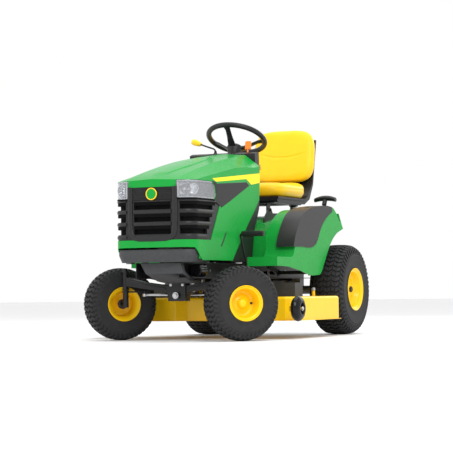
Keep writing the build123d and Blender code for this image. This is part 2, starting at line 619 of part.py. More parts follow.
def belt_edge(radius, side):
    """Where the belt's straight run leaves the engine pulley and meets a blade pulley."""
    run = Vector(BLADE_X, BLADE_Y - ENGINE_Y, 0).normalized()
    normal = Vector(run.Y, -run.X, 0)
    return [(side * normal.X * radius, ENGINE_Y + normal.Y * radius),
            (side * (BLADE_X + normal.X * (radius + PULLEY_R - ENGINE_PULLEY_R)),
             BLADE_Y + normal.Y * (radius + PULLEY_R - ENGINE_PULLEY_R))]


def belt_loop(swell):
    """Closed belt line round the engine pulley and the two blade pulleys."""
    left = belt_edge(ENGINE_PULLEY_R + swell, 1)
    right = belt_edge(ENGINE_PULLEY_R + swell, -1)
    far_y = BLADE_Y + PULLEY_R + swell
    bulge_x = (PULLEY_R + swell) * cos(0.6)
    bulge_y = BLADE_Y + (PULLEY_R + swell) * sin(0.6)
    with BuildSketch(Plane.XY.offset(BELT_Z - 3)) as loop:
        with BuildLine():
            ThreePointArc(right[0], (0, ENGINE_Y - ENGINE_PULLEY_R - swell), left[0])
            Line(left[0], left[1])
            ThreePointArc(left[1], (BLADE_X + bulge_x, bulge_y), (BLADE_X, far_y))
            Line((BLADE_X, far_y), (-BLADE_X, far_y))
            ThreePointArc((-BLADE_X, far_y), (-BLADE_X - bulge_x, bulge_y), right[1])
            Line(right[1], right[0])
        make_face()
    return loop.sketch


with BuildPart() as mower_belt:
    extrude(belt_loop(1.5), amount=6)
    extrude(belt_loop(-6), amount=6, mode=Mode.SUBTRACT)
save(mower_belt.part, "mower_belt")

with BuildPart() as discharge_chute:
    # moulded deflector that flares down and out from its hinge
    front_prism([(CHUTE_HINGE_X - 12, CHUTE_HINGE_Z - 6), (CHUTE_HINGE_X - 12, CHUTE_HINGE_Z + 1),
                 (CHUTE_HINGE_X - 60, CHUTE_HINGE_Z), (CHUTE_TIP_X, 150), (CHUTE_TIP_X, 108),
                 (CHUTE_TIP_X + 5, 108), (CHUTE_TIP_X + 5, 146), (CHUTE_HINGE_X - 58, CHUTE_HINGE_Z - 6)],
                -262, 74)
    for y in (-264, 70):
        front_prism([(CHUTE_HINGE_X - 14, CHUTE_HINGE_Z - 1), (CHUTE_HINGE_X - 60, CHUTE_HINGE_Z - 1),
                     (CHUTE_TIP_X + 1, 149), (CHUTE_TIP_X + 1, 108), (CHUTE_HINGE_X - 14, 108)], y, y + 5)
    for y in (-200, 0):
        rod((CHUTE_HINGE_X, y - 28, CHUTE_HINGE_Z), (CHUTE_HINGE_X, y + 28, CHUTE_HINGE_Z), 8)
        block((CHUTE_HINGE_X - 20, CHUTE_HINGE_X - 3), (y - 28, y + 28),
              (CHUTE_HINGE_Z - 5, CHUTE_HINGE_Z + 1))
        rod((CHUTE_HINGE_X, y - 30, CHUTE_HINGE_Z), (CHUTE_HINGE_X, y + 30, CHUTE_HINGE_Z), 4 + RUN_GAP,
            mode=Mode.SUBTRACT)
save(discharge_chute.part, "discharge_chute")

with BuildPart() as gauge_wheel:
    # barrel-shaped anti-scalp roller on its own axle bolt
    turned([(7 + RUN_GAP, -GAUGE_W / 2), (40, -GAUGE_W / 2), (54, -20), (62, -12), (GAUGE_R, -3),
            (GAUGE_R, 3), (62, 12), (54, 20), (40, GAUGE_W / 2), (30, GAUGE_W / 2), (26, 14),
            (7 + RUN_GAP, 14)],
           (GAUGE_X, GAUGE_Y, GAUGE_Z), (1, 0, 0))
save(gauge_wheel.part, "gauge_wheel")


# ---------------------------------------------------------------- deck lift
LEVER_X = 388.0
LEVER_TOP = (LEVER_X, 488.0, 768.0)
LEVER_BLADE = [(LIFT_Y - 18, LIFT_Z + 4), (LIFT_Y, LIFT_Z - 18), (LIFT_Y + 20, LIFT_Z - 4),
               (LIFT_Y + 44, LIFT_Z + 66), (438, 652), (480, 738), (466, 744), (422, 664),
               (LIFT_Y + 20, LIFT_Z + 80)]
with BuildPart() as lift_shaft:
    # cross shaft, its two lift arms and the hand lever's blade
    rod((-LIFT_X - 12, LIFT_Y, LIFT_Z), (LEVER_X + 6, LIFT_Y, LIFT_Z), 10)
    for side in (-1, 1):
        arm = sorted((side * (LIFT_X - 4), side * (LIFT_X + 4)))
        rod((arm[0], LIFT_Y, LIFT_Z), (arm[1], LIFT_Y, LIFT_Z), 20)
        rod((arm[0], EAR_Y, ARM_END_Z), (arm[1], EAR_Y, ARM_END_Z), 14)
        side_prism([(LIFT_Y - 3, LIFT_Z + 16), (LIFT_Y - 7, LIFT_Z - 14), (EAR_Y - 3, ARM_END_Z - 12),
                    (EAR_Y + 3, ARM_END_Z + 12)], arm[0], arm[1])
        pin = sorted((side * (LIFT_X - 14), side * (LIFT_X + 4)))
        rod((pin[0], EAR_Y, ARM_END_Z), (pin[1], EAR_Y, ARM_END_Z), 6)
    side_prism(LEVER_BLADE, LEVER_X - 4, LEVER_X + 4)

with BuildPart() as lift_handle:
    # moulded T grip
    grip = Vector(*LEVER_TOP)
    rod((LEVER_X, 468, 729), (LEVER_X, 484, 762), 13)
    with BuildSketch(Plane.YZ.offset(LEVER_X - 62)):
        with Locations((grip.Y - 2, grip.Z - 10)):
            Ellipse(17, 12)
    with BuildSketch(Plane.YZ.offset(LEVER_X)):
        with Locations((grip.Y, grip.Z)):
            Ellipse(20, 15)
    with BuildSketch(Plane.YZ.offset(LEVER_X + 62)):
        with Locations((grip.Y - 2, grip.Z - 10)):
            Ellipse(17, 12)
    loft()
    side_prism(LEVER_BLADE, LEVER_X - 4, LEVER_X + 4, mode=Mode.SUBTRACT)
save(Compound([lift_shaft.part.solid(), lift_handle.part.solid()]), "lift_shaft")

LINK_SLOT = 5.5
with BuildPart() as lift_links:
    for side in (-1, 1):
        link = sorted((side * (LIFT_X - 9), side * (LIFT_X - 4.5)))
        side_prism([(EAR_Y - 14, EAR_Z - 14), (EAR_Y + 22, EAR_Z - 14), (EAR_Y + 22, EAR_Z + 14),
                    (EAR_Y + 12, ARM_END_Z + 12), (EAR_Y - 12, ARM_END_Z + 12)], link[0], link[1])
        rod((link[0] - 1, EAR_Y, ARM_END_Z), (link[1] + 1, EAR_Y, ARM_END_Z), 6 + RUN_GAP,
            mode=Mode.SUBTRACT)
        # slotted lower hole, because the arm's end swings forward a little as it falls
        for shift in (0, LINK_SLOT):
            rod((link[0] - 1, EAR_Y + shift, EAR_Z), (link[1] + 1, EAR_Y + shift, EAR_Z), 9,
                mode=Mode.SUBTRACT)
        block((link[0] - 1, link[1] + 1), (EAR_Y, EAR_Y + LINK_SLOT), (EAR_Z - 9, EAR_Z + 9),
              mode=Mode.SUBTRACT)
save(lift_links.part, "lift_links")


# ---------------------------------------------------------------- engine and drive
with BuildPart() as engine_block:
    # vertical-shaft crankcase, finned cylinder towards the front, and its sump
    rod((0, ENGINE_Y, RAIL_TOP_Z), (0, ENGINE_Y, 500), 118)
    block((-70, 70), (-690, ENGINE_Y), (RAIL_TOP_Z + 16, 490))
    for level in range(6):
        block((-80, 80), (-684, -590), (RAIL_TOP_Z + 22 + 11 * level, RAIL_TOP_Z + 26 + 11 * level))
    rod((0, ENGINE_Y, 388), (0, ENGINE_Y, 402), 30)
    rod((0, ENGINE_Y, 386), (0, ENGINE_Y, 420), 12.7 + RUN_GAP, mode=Mode.SUBTRACT)
save(engine_block.part, "engine_block")

with BuildPart() as blower_housing:
    turned([(0, 500), (132, 500), (132, 566), (112, 588), (70, 596), (0, 596)], (0, ENGINE_Y, 0), (0, 0, 1))
    block((-92, 92), (-700, ENGINE_Y), (500, 570))
    fillet(blower_housing.edges().filter_by(Axis.Z), radius=12)
    turned([(0, 596), (78, 596), (74, 606), (0, 606)], (0, ENGINE_Y, 0), (0, 0, 1))
save(blower_housing.part, "blower_housing")

with BuildPart() as engine_pulley:
    # crankshaft stub with the blade drive's clutch and V pulley
    turned([(0, 250), (ENGINE_PULLEY_R, 250), (ENGINE_PULLEY_R, BELT_Z - 9),
            (ENGINE_PULLEY_R - 8, BELT_Z - 3), (ENGINE_PULLEY_R - 8, BELT_Z + 3),
            (ENGINE_PULLEY_R, BELT_Z + 9), (40, BELT_Z + 11), (40, 300), (12.7, 302), (12.7, 418), (0, 418)],
           (0, ENGINE_Y, 0), (0, 0, 1))
save(engine_pulley.part, "engine_pulley")

with BuildPart() as muffler:
    # canister along the right side of the engine, with its pipe down to a round outlet
    rod((-172, -700, 455), (-172, -480, 455), 34)
    fillet(muffler.edges().filter_by(GeomType.CIRCLE), radius=10)
    bent_bar([(-199, -590, 455), (-199, -590, 362), (-199, -664, 350)], 18, 22)
    rod((-199, -634, 354.9), (-199, -670, 349), 15.5, mode=Mode.SUBTRACT)
save(muffler.part, "muffler")

with BuildPart() as oil_filter:
    rod((158, -726, 360), (158, -640, 360), 33)
    fillet(oil_filter.edges().filter_by(GeomType.CIRCLE), radius=5)
save(oil_filter.part, "oil_filter")

with BuildPart() as transaxle:
    # hydrostatic transaxle casing with its two axle tubes
    block((-112, 112), (566, 730), (188, 318))
    fillet(transaxle.edges(), radius=18)
    for side in (-1, 1):
        rod((side * 100, REAR_Y, REAR_TYRE_R), (side * 352, REAR_Y, REAR_TYRE_R), 24)
        block(sorted((side * 124, side * 174)), (REAR_Y - 30, REAR_Y + 30), (REAR_TYRE_R, RAIL_LOW_Z))
    for side in (-1, 1):
        rod((side * 114, REAR_Y, REAR_TYRE_R), (side * 353, REAR_Y, REAR_TYRE_R), 9.5 + RUN_GAP,
            mode=Mode.SUBTRACT)
    # cooling fan hub and input pulley above the casing
    turned([(0, 316), (52, 318.5), (52, 332), (44, 336), (52, 340), (52, 346), (0, 346)],
           (0, 590, 0), (0, 0, 1))
save(transaxle.part, "transaxle")

with BuildPart() as battery:
    block((-95, 95), (420, 548), (RAIL_TOP_Z, 570))
    for x in (-66, 66):
        rod((x, 448, 570), (x, 448, 582), 9)
save(battery.part, "battery")

TANK_CAP = (150.0, 770.0)
with BuildPart() as fuel_tank:
    block((-200, 200), (690, 830), (RAIL_TOP_Z, 610))
    fillet(fuel_tank.edges(), radius=24)
    rod((TANK_CAP[0], TANK_CAP[1], 600), (TANK_CAP[0], TANK_CAP[1], 682), 26, 19)
save(fuel_tank.part, "fuel_tank")

with BuildPart() as fuel_cap:
    turned([(0, 678), (18.6, 678), (18.6, 682.5), (38, 682.5), (38, 704), (34, 708), (0, 708)],
           (TANK_CAP[0], TANK_CAP[1], 0), (0, 0, 1))
    with BuildSketch(Plane(origin=(TANK_CAP[0], TANK_CAP[1], 684))):
        with PolarLocations(38.5, 20):
            Circle(2.5)
    extrude(amount=16)
save(fuel_cap.part, "fuel_cap")


# ---------------------------------------------------------------- hood
CREASE_X = 140.0
HOOD_SECTIONS = [(-900, 792, 812, 820), (-787, 826, 850, 858), (-611, 856, 892, 902), (-455, 884, 925, 936),
                 (-300, 904, 953, 964), (-50, 926, 990, 1000)]


def hood_form(inset):
    """Solid of the hood's outer shape, made smaller all round by the inset."""
    x = HOOD_X - inset
    with BuildPart() as form:
        for y, side_z, crease_z, crown_z in HOOD_SECTIONS:
            with BuildSketch(Plane.XZ.offset(-y)):
                with BuildLine():
                    Polyline((-x, 380), (-x, side_z - inset), (-CREASE_X, crease_z - inset),
                             (0, crown_z - inset), (CREASE_X, crease_z - inset), (x, side_z - inset),
                             (x, 380), close=True)
                make_face()
        loft()
        extrude(hood_plan(inset).moved(Location((0, 0, 370))), amount=700, mode=Mode.INTERSECT)
    return form.part


HOOD_SIDE = [(-930, 478), (-850, 474), (-800, 425), (-776, 411), (-420, 411), (-374, 457), (-295, 533),
             (-203, 620), (-135, 676), (-67, 743), (-58, 841), (HOOD_REAR_Y, 1040), (-930, 1040)]
GRILLE_SIDE = [(-930, 514), (-680, 514), (-566, 697), (-600, 748), (-640, 720), (-850, 720),
               (-850, 781), (-930, 781)]
LAMP_Z = (722.0, 814.0)
LAMP_SIDE = [(-930, LAMP_Z[0]), (-640, LAMP_Z[0]), (-612, 745), (-628, 790), (-665, LAMP_Z[1]),
             (-930, LAMP_Z[1])]
SLOT_ROWS = ((543.0, 570.0), (606.0, 630.0), (668.0, 694.0))

with BuildPart() as hood_shell:
    add(hood_form(0))
    side_prism(HOOD_SIDE, -240, 240, mode=Mode.INTERSECT)
    add(hood_form(SHELL_T), mode=Mode.SUBTRACT)
    block((-220, 220), (-70, -40), (300, 915), mode=Mode.SUBTRACT)
    side_prism(GRILLE_SIDE, -240, 240, mode=Mode.SUBTRACT)
    for side in (-1, 1):
        span = sorted((side * 133, side * 240))
        side_prism(LAMP_SIDE, span[0], span[1], mode=Mode.SUBTRACT)
        # hinge lugs on the inside of the walls, behind the front corners
        lug = sorted((side * 216, side * (HOOD_X - 3)))
        side_prism([(HOOD_HINGE_Y - 14, HOOD_HINGE_Z - 12), (HOOD_HINGE_Y + 14, HOOD_HINGE_Z - 12),
                    (HOOD_HINGE_Y + 20, 500), (HOOD_HINGE_Y - 20, 500)], lug[0], lug[1])
        rod((lug[0] - 1, HOOD_HINGE_Y, HOOD_HINGE_Z), (lug[1] + 1, HOOD_HINGE_Y, HOOD_HINGE_Z), 6 + RUN_GAP,
            mode=Mode.SUBTRACT)
save(hood_shell.part, "hood_shell")

with BuildPart() as grille:
    # moulded front grille that wraps round both corners
    add(hood_form(3))
    side_prism([(-930, 515), (-681, 515), (-568, 697), (-601, 746), (-640, 719), (-850, 719),
                (-850, 780), (-930, 780)], -240, 240, mode=Mode.INTERSECT)
    add(hood_form(16), mode=Mode.SUBTRACT)
    for low, high in SLOT_ROWS:
        block((-104, 104), (-930, -840), (low, high), mode=Mode.SUBTRACT)
        for side in (-1, 1):
            block(sorted((side * 152, side * 240)), (-930, -720 + (low - 543) * 0.55), (low, high),
                  mode=Mode.SUBTRACT)
    for side in (-1, 1):
        block(sorted((side * 131, side * 240)), (-930, -600), (719, 790), mode=Mode.SUBTRACT)
save(grille.part, "grille")


def lamp_lens(side):
    """Clear cover of one headlight, wrapped round the hood's corner."""
    with BuildPart() as lens:
        add(hood_form(2))
        span = sorted((side * 134, side * 240))
        side_prism([(-930, LAMP_Z[0] + 1), (-641, LAMP_Z[0] + 1), (-614, 745), (-630, 789),
                    (-666, LAMP_Z[1] - 1), (-930, LAMP_Z[1] - 1)], span[0], span[1], mode=Mode.INTERSECT)
        add(hood_form(6), mode=Mode.SUBTRACT)
    return lens.part


with BuildPart() as headlights:
    add(lamp_lens(1))
    add(lamp_lens(-1))
save(headlights.part, "headlights")


# ---------------------------------------------------------------- fenders, footrests and dash
LEVER_SLOT_Y = (188.0, 494.0)


def inset_line(points, distance):
    """Move each point of a line sideways, to its right, by the distance."""
    moved = []
    for index, (y, z) in enumerate(points):
        before = points[max(index - 1, 0)]
        after = points[min(index + 1, len(points) - 1)]
        run = hypot(after[0] - before[0], after[1] - before[1])
        moved.append((y + distance * (after[1] - before[1]) / run,
                      z - distance * (after[0] - before[0]) / run))
    return moved


WING_CROWN = [(-120, 430), (-74, 460), (-48, 545), (38, 640), (180, 692), (412, 706), (540, 688),
              (602, 644), (647, 599)]
WING_ARCH = [(647, 599), (560, 574), (482, 533), (388, 442), (318, 358), (251, 335)]


def wing_sketch(x_low, inset):
    """Side view of a fender wing on the plane X = x_low: footrest, crown and wheel arch."""
    crown = inset_line(WING_CROWN, inset)
    arch = inset_line(WING_ARCH, inset)
    arch[0] = crown[-1]
    front = -307 + inset
    with BuildSketch(Plane.YZ.offset(x_low)) as wing:
        with BuildLine():
            Polyline((front, 382 + inset), (front, 430 - inset), crown[0])
            Spline(*crown, tangents=((1, 0), (0.6, -0.8)))
            Spline(*arch, tangents=((-0.9, -0.3), (-1, 0)))
            Polyline(arch[-1], (178, 332 + inset), (106, 340 + inset), (-6, 361 + inset),
                     (-157, 379 + inset), (front, 382 + inset))
        make_face()
    return wing.sketch


SEAT_BOX = [(-60, 426), (-60, 575), (150, 622), (400, 668), (640, 684), (835, 664), (850, 620), (850, 430)]
SEAT_BOX_IN = [(-56, 380), (-56, 571), (150, 618), (400, 664), (640, 680), (832, 660), (846, 619),
               (846, 380)]

with BuildPart() as fender_deck:
    # one moulded body: seat box, two footrests and two wheel-arch wings
    side_prism(SEAT_BOX, -TUNNEL_X, TUNNEL_X)
    for side in (-1, 1):
        start = side * TUNNEL_X
        reach = side * (FENDER_X - TUNNEL_X)
        extrude(wing_sketch(start, 0), amount=reach)
    for side in (-1, 1):
        inner = wing_sketch(side * (TUNNEL_X - 1), SHELL_T)
        reach = side * (FENDER_X - TUNNEL_X + 1 - SHELL_T)
        extrude(inner, amount=reach, mode=Mode.SUBTRACT)
        extrude(inner.moved(Location((0, 0, -20))), amount=reach, mode=Mode.SUBTRACT)
    side_prism(SEAT_BOX_IN, -TUNNEL_X + SHELL_T, TUNNEL_X - SHELL_T, mode=Mode.SUBTRACT)
    # floor bridge in front of the seat box, slot for the lift lever, hole for the fuel filler
    block((-TUNNEL_X - 2, TUNNEL_X + 2), (-90, -58), (426, 430))
    block((LEVER_X - 9, LEVER_X + 9), LEVER_SLOT_Y, (600, 760), mode=Mode.SUBTRACT)
    rod((TANK_CAP[0], TANK_CAP[1], 640), (TANK_CAP[0], TANK_CAP[1], 700), 27, mode=Mode.SUBTRACT)
save(fender_deck.part, "fender_deck")

with BuildPart() as lift_console:
    # moulded cap over the left wing with the height quadrant's slot
    with BuildSketch(Plane.YZ.offset(330)) as cap_side:
        with BuildLine():
            Spline((-88, 486), (-32, 588), (38, 656), (180, 704), (330, 718), (470, 716),
                   tangents=((0.2, 1), (1, -0.1)))
            Polyline((470, 716), (478, 690))
            Spline((478, 690), (364, 640), (288, 575), (236, 512), (60, 486), (-88, 486),
                   tangents=((-1, -0.3), (-1, 0)))
        make_face()
    extrude(cap_side.sketch, amount=FENDER_X + 4 - 330)
    extrude(wing_sketch(325, 0), amount=FENDER_X - 325 + 0.3, mode=Mode.SUBTRACT)
    block((LEVER_X - 9, LEVER_X + 9), LEVER_SLOT_Y, (600, 760), mode=Mode.SUBTRACT)
save(lift_console.part, "lift_console")

PARKING_X = 134.0             # parking brake's pull rod
THROTTLE_X = 133.0
TOWER_SIDE = [(-50, 905), (-51, 842), (-60, 738), (-128, 668), (-196, 612), (-288, 525), (-366, 452),
              (-372, 404), (-104, 404), (-76, 560), (0, 700), (64, 820), (110, 905)]
PANEL_SIDE = [(-50, 905.2), (-50, 996), (-20, 1006), (66, 1000), (122, 946), (112, 905.2)]
PANEL_INSIDE = [(-46, 890), (-46, 992), (-20, 1002), (64, 996), (117, 945), (107, 890)]


def dash_form(outline, inset, drop=0.0):
    """Outline of (Y, Z) points across the dash's width, which narrows towards the driver."""
    x = DASH_X - inset
    rear_x = DASH_REAR_X - inset
    with BuildSketch(Plane.YZ.offset(-x)) as side_view:
        with BuildLine():
            Polyline(*outline, close=True)
        make_face()
        if drop:
            offset(amount=-inset, mode=Mode.REPLACE)
    with BuildPart() as form:
        extrude(side_view.sketch.moved(Location((0, 0, -drop))), amount=2 * x)
        flat_prism([(-x, -400), (x, -400), (x, 0), (rear_x, 130), (-rear_x, 130), (-x, 0)], 300, 1100,
                   mode=Mode.INTERSECT)
    return form.part


with BuildPart() as dash_tower:
    # hollow pedestal round the steering column, open below
    add(dash_form(TOWER_SIDE, 0))
    for drop in (0.01, 20):
        add(dash_form(TOWER_SIDE, SHELL_T, drop), mode=Mode.SUBTRACT)
    rod(FOOT, HUB, 20, mode=Mode.SUBTRACT)
save(dash_tower.part, "dash_tower")

with BuildPart() as dash_panel:
    # sloping instrument panel with a raised boss for the column
    add(dash_form(PANEL_SIDE, 0))
    rod(HUB - COLUMN * 120, HUB - COLUMN * 21, 30)
    add(dash_form(PANEL_INSIDE, SHELL_T), mode=Mode.SUBTRACT)
    rod(HUB - COLUMN * 60, HUB - COLUMN * 21, 30)
    rod(HUB - COLUMN * 200, HUB, 9 + RUN_GAP, mode=Mode.SUBTRACT)
    # openings for the levers
    rod((-66, 6, 960), (-66, 6, 1030), 11.4, mode=Mode.SUBTRACT)
    block((THROTTLE_X - 5, THROTTLE_X + 5), (-24, 22), (980, 1012), mode=Mode.SUBTRACT)
    rod((PARKING_X, 90, 919), (PARKING_X, 136, 931), 6, mode=Mode.SUBTRACT)
save(dash_panel.part, "dash_panel")


# ---------------------------------------------------------------- seat
SEAT_HINGE = (262.0, 700.0)
BACK_TILT = 12.0
with BuildPart() as seat_mount:
    # hinge brackets on the seat box, with the pins that the seat frame tilts on
    for side in (-1, 1):
        ear = sorted((side * 140, side * 146))
        side_prism([(180, 628), (400, 668.3), (520, 676.3), (520, 689), (300, 684),
                    (SEAT_HINGE[0] + 12, SEAT_HINGE[1] + 14), (SEAT_HINGE[0] - 12, SEAT_HINGE[1] + 14),
                    (180, 652)], ear[0], ear[1])
        rod((side * 126, *SEAT_HINGE), (side * 154, *SEAT_HINGE), 6)
save(seat_mount.part, "seat_mount")

with BuildPart() as seat_springs:
    # compression springs with moulded caps, under the seat frame's rear corners
    for side in (-1, 1):
        turned([(0, 682.5), (20, 682.5), (20, 688), (22, 688), (22, 730), (26, 730), (26, 739), (0, 739)],
               (side * 150, 590, 0), (0, 0, 1))
save(seat_springs.part, "seat_springs")

with BuildPart() as seat_frame:
    # tilting frame: two channels with hinge ears, and cross straps
    for side in (-1, 1):
        ear = sorted((side * 128, side * 134))
        side_prism([(SEAT_HINGE[0] - 14, SEAT_HINGE[1] - 12), (SEAT_HINGE[0] + 14, SEAT_HINGE[1] - 12),
                    (SEAT_HINGE[0] + 40, 740), (640, 740), (640, 746), (SEAT_HINGE[0] - 14, 746)],
                   ear[0], ear[1])
        rod((ear[0] - 1, *SEAT_HINGE), (ear[1] + 1, *SEAT_HINGE), 6 + RUN_GAP, mode=Mode.SUBTRACT)
        block(sorted((side * 128, side * 178)), (SEAT_HINGE[0] - 14, 640), (740, 746))
    for y in (300, 470, 600):
        block((-134, 134), (y - 14, y + 14), (740, 746))
save(seat_frame.part, "seat_frame")

SEAT_X = 192.0
with BuildPart() as seat_pan:
    # moulded pan under the cushion that rises into the back's shell
    side_prism([(292, 754), (300, 747), (690, 747), (768, 780), (825, 868), (883, 1130), (872, 1133),
                (815, 880), (748, 800), (700, 778), (292, 778)], -178, 178)
    side_prism([(292, 766), (292, 778), (700, 778), (690, 766)], -SEAT_X + 8, SEAT_X - 8)
save(seat_pan.part, "seat_pan")

with BuildPart() as seat_cushion:
    side_prism([(300, 778.3), (690, 778.3), (728, 822), (735, 872), (700, 888), (640, 872), (560, 850),
                (330, 846), (296, 826)], -SEAT_X, SEAT_X)
    fillet(seat_cushion.faces().sort_by(Axis.X)[-1].edges(), radius=16)
    fillet(seat_cushion.faces().sort_by(Axis.X)[0].edges(), radius=16)
save(seat_cushion.part, "seat_cushion")

BACK_PLANE = Plane(origin=(0, 768, 884), x_dir=(1, 0, 0),
                   z_dir=(0, -cos(radians(BACK_TILT)), sin(radians(BACK_TILT))))
with BuildPart() as seat_back:
    with BuildSketch(BACK_PLANE) as back_face:
        with BuildLine():
            Polyline((-150, 14), (150, 14), (184, 50), (192, 140), (180, 240), (150, 306), (-150, 306),
                     (-180, 240), (-192, 140), (-184, 50), close=True)
        make_face()
        fillet(back_face.vertices(), radius=20)
    extrude(amount=-44)
save(seat_back.part, "seat_back")


# ---------------------------------------------------------------- pedals, levers and key
with BuildPart() as brake_pedal:
    # bent arm with a wide roll-shaped pad, on the left
    rod((RAIL_WEB_X + RAIL_FLANGE + 4, *PEDAL_AXLE), (249, *PEDAL_AXLE), 15)
    bent_bar([(241, *PEDAL_AXLE), (241, -300, 440), (241, -352, 548), (262, -352, 552), (376, -352, 552)],
             6, 9)
    rod((252, -352, 552), (374, -352, 552), 15)
    rod((RAIL_WEB_X + RAIL_FLANGE + 3, *PEDAL_AXLE), (250, *PEDAL_AXLE), PEDAL_AXLE_R + RUN_GAP,
        mode=Mode.SUBTRACT)
save(brake_pedal.part, "brake_pedal")


def drive_pedal(x_arm, pad_y, slope):
    """Speed pedal on the right: arm and ribbed flat pad."""
    with BuildPart() as pedal:
        rod((x_arm - 4, *PEDAL_AXLE), (x_arm + 4, *PEDAL_AXLE), 16)
        side_prism([(PEDAL_AXLE[0] - 12, PEDAL_AXLE[1]), (PEDAL_AXLE[0] + 12, PEDAL_AXLE[1]),
                    (pad_y + 10, 474), (pad_y - 10, 474)], x_arm - 4, x_arm + 4)
        pad_normal = (0, sin(slope), cos(slope))
        with BuildSketch(Plane(origin=(x_arm - 34, pad_y, 476), x_dir=(1, 0, 0), z_dir=pad_normal)):
            RectangleRounded(76, 62, 12)
        extrude(amount=9)
        rod((x_arm - 5, *PEDAL_AXLE), (x_arm + 5, *PEDAL_AXLE), PEDAL_AXLE_R + RUN_GAP,
            mode=Mode.SUBTRACT)
    return pedal.part


save(drive_pedal(-244, -316, -0.4), "forward_pedal")
save(drive_pedal(-253.5, -178, 0.35), "reverse_pedal")

with BuildPart() as pto_lever:
    # blade engagement lever with a moulded knob, on the right of the dash
    rod((-66, 6, 978), (-66, 6, 1022), 11)
    bent_bar([(-66, 6, 1012), (-66, 6, 1030), (-110, 8, 1046), (-206, 14, 1080)], 4.5, 9)
    turned([(0, 0), (9, 0), (15, 10), (17.5, 34), (14, 52), (0, 60)], (-156, 11, 1062.3), (-46, 3, 16.3))
save(pto_lever.part, "pto_lever")

with BuildPart() as throttle_lever:
    # stem on its own pivot pin, through a slot on the left of the dash, with a wide moulded paddle
    side_prism([(-14, 988), (-2, 988), (6, 1034), (-6, 1034)], THROTTLE_X - 2.5, THROTTLE_X + 2.5)
    rod((THROTTLE_X - 4, -8, 990), (THROTTLE_X + 4, -8, 990), 7)
    with BuildSketch(Plane(origin=(THROTTLE_X, 3, 1046), x_dir=(1, 0, 0), z_dir=(0, -1, 0.15))):
        RectangleRounded(34, 46, 8)
    extrude(amount=5, both=True)
save(throttle_lever.part, "throttle_lever")

with BuildPart() as parking_brake:
    # small pull lever at the left rear edge of the dash
    rod((PARKING_X, 100, 921.6), (PARKING_X, 138, 931.5), 5)
    with BuildSketch(Plane(origin=(PARKING_X, 138, 931.5), z_dir=(0, 1, 0.26))):
        RectangleRounded(34, 18, 8)
    extrude(amount=10)
save(parking_brake.part, "parking_brake")

KEY = Vector(120, 98, 972)
KEY_AXIS = Vector(0, 54, 56).normalized()
with BuildPart() as ignition_key:
    rod(KEY, KEY + KEY_AXIS * 26, 3)
    with BuildSketch(Plane(origin=KEY + KEY_AXIS * 12, x_dir=KEY_AXIS, z_dir=(1, 0, 0))):
        with Locations((12, 0)):
            RectangleRounded(24, 22, 8)
    extrude(amount=2.5, both=True)
save(ignition_key.part, "ignition_key")
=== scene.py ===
import json
from math import atan, cos, radians, sin, tau

import bmesh
import bpy
from mathutils import Matrix, Vector


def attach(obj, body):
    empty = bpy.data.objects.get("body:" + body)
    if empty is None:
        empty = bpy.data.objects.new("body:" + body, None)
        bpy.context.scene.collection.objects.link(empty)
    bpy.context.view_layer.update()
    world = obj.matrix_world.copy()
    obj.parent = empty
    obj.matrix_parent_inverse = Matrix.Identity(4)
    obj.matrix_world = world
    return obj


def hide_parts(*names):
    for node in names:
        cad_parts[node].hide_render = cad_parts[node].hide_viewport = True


# A riding lawn mower dressed over its CAD frame.
# Positions are written in millimetres about the machine's centre plane, with +X to the
# driver's left, -Y forwards and +Z up; at() turns them into the shared frame's metres.

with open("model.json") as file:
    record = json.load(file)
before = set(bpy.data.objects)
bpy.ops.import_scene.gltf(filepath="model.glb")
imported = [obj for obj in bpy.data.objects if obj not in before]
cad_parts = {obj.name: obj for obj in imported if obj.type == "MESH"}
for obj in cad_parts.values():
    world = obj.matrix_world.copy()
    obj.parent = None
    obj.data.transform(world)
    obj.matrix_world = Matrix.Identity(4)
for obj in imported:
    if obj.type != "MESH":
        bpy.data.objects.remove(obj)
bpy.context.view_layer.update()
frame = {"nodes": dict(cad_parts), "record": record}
nodes = frame["nodes"]

CENTRE_X = 55.0
MM = 0.001


def at(x, y, z):
    """Shared-frame point in metres from machine millimetres."""
    return Vector(((x + CENTRE_X) * MM, y * MM, z * MM))


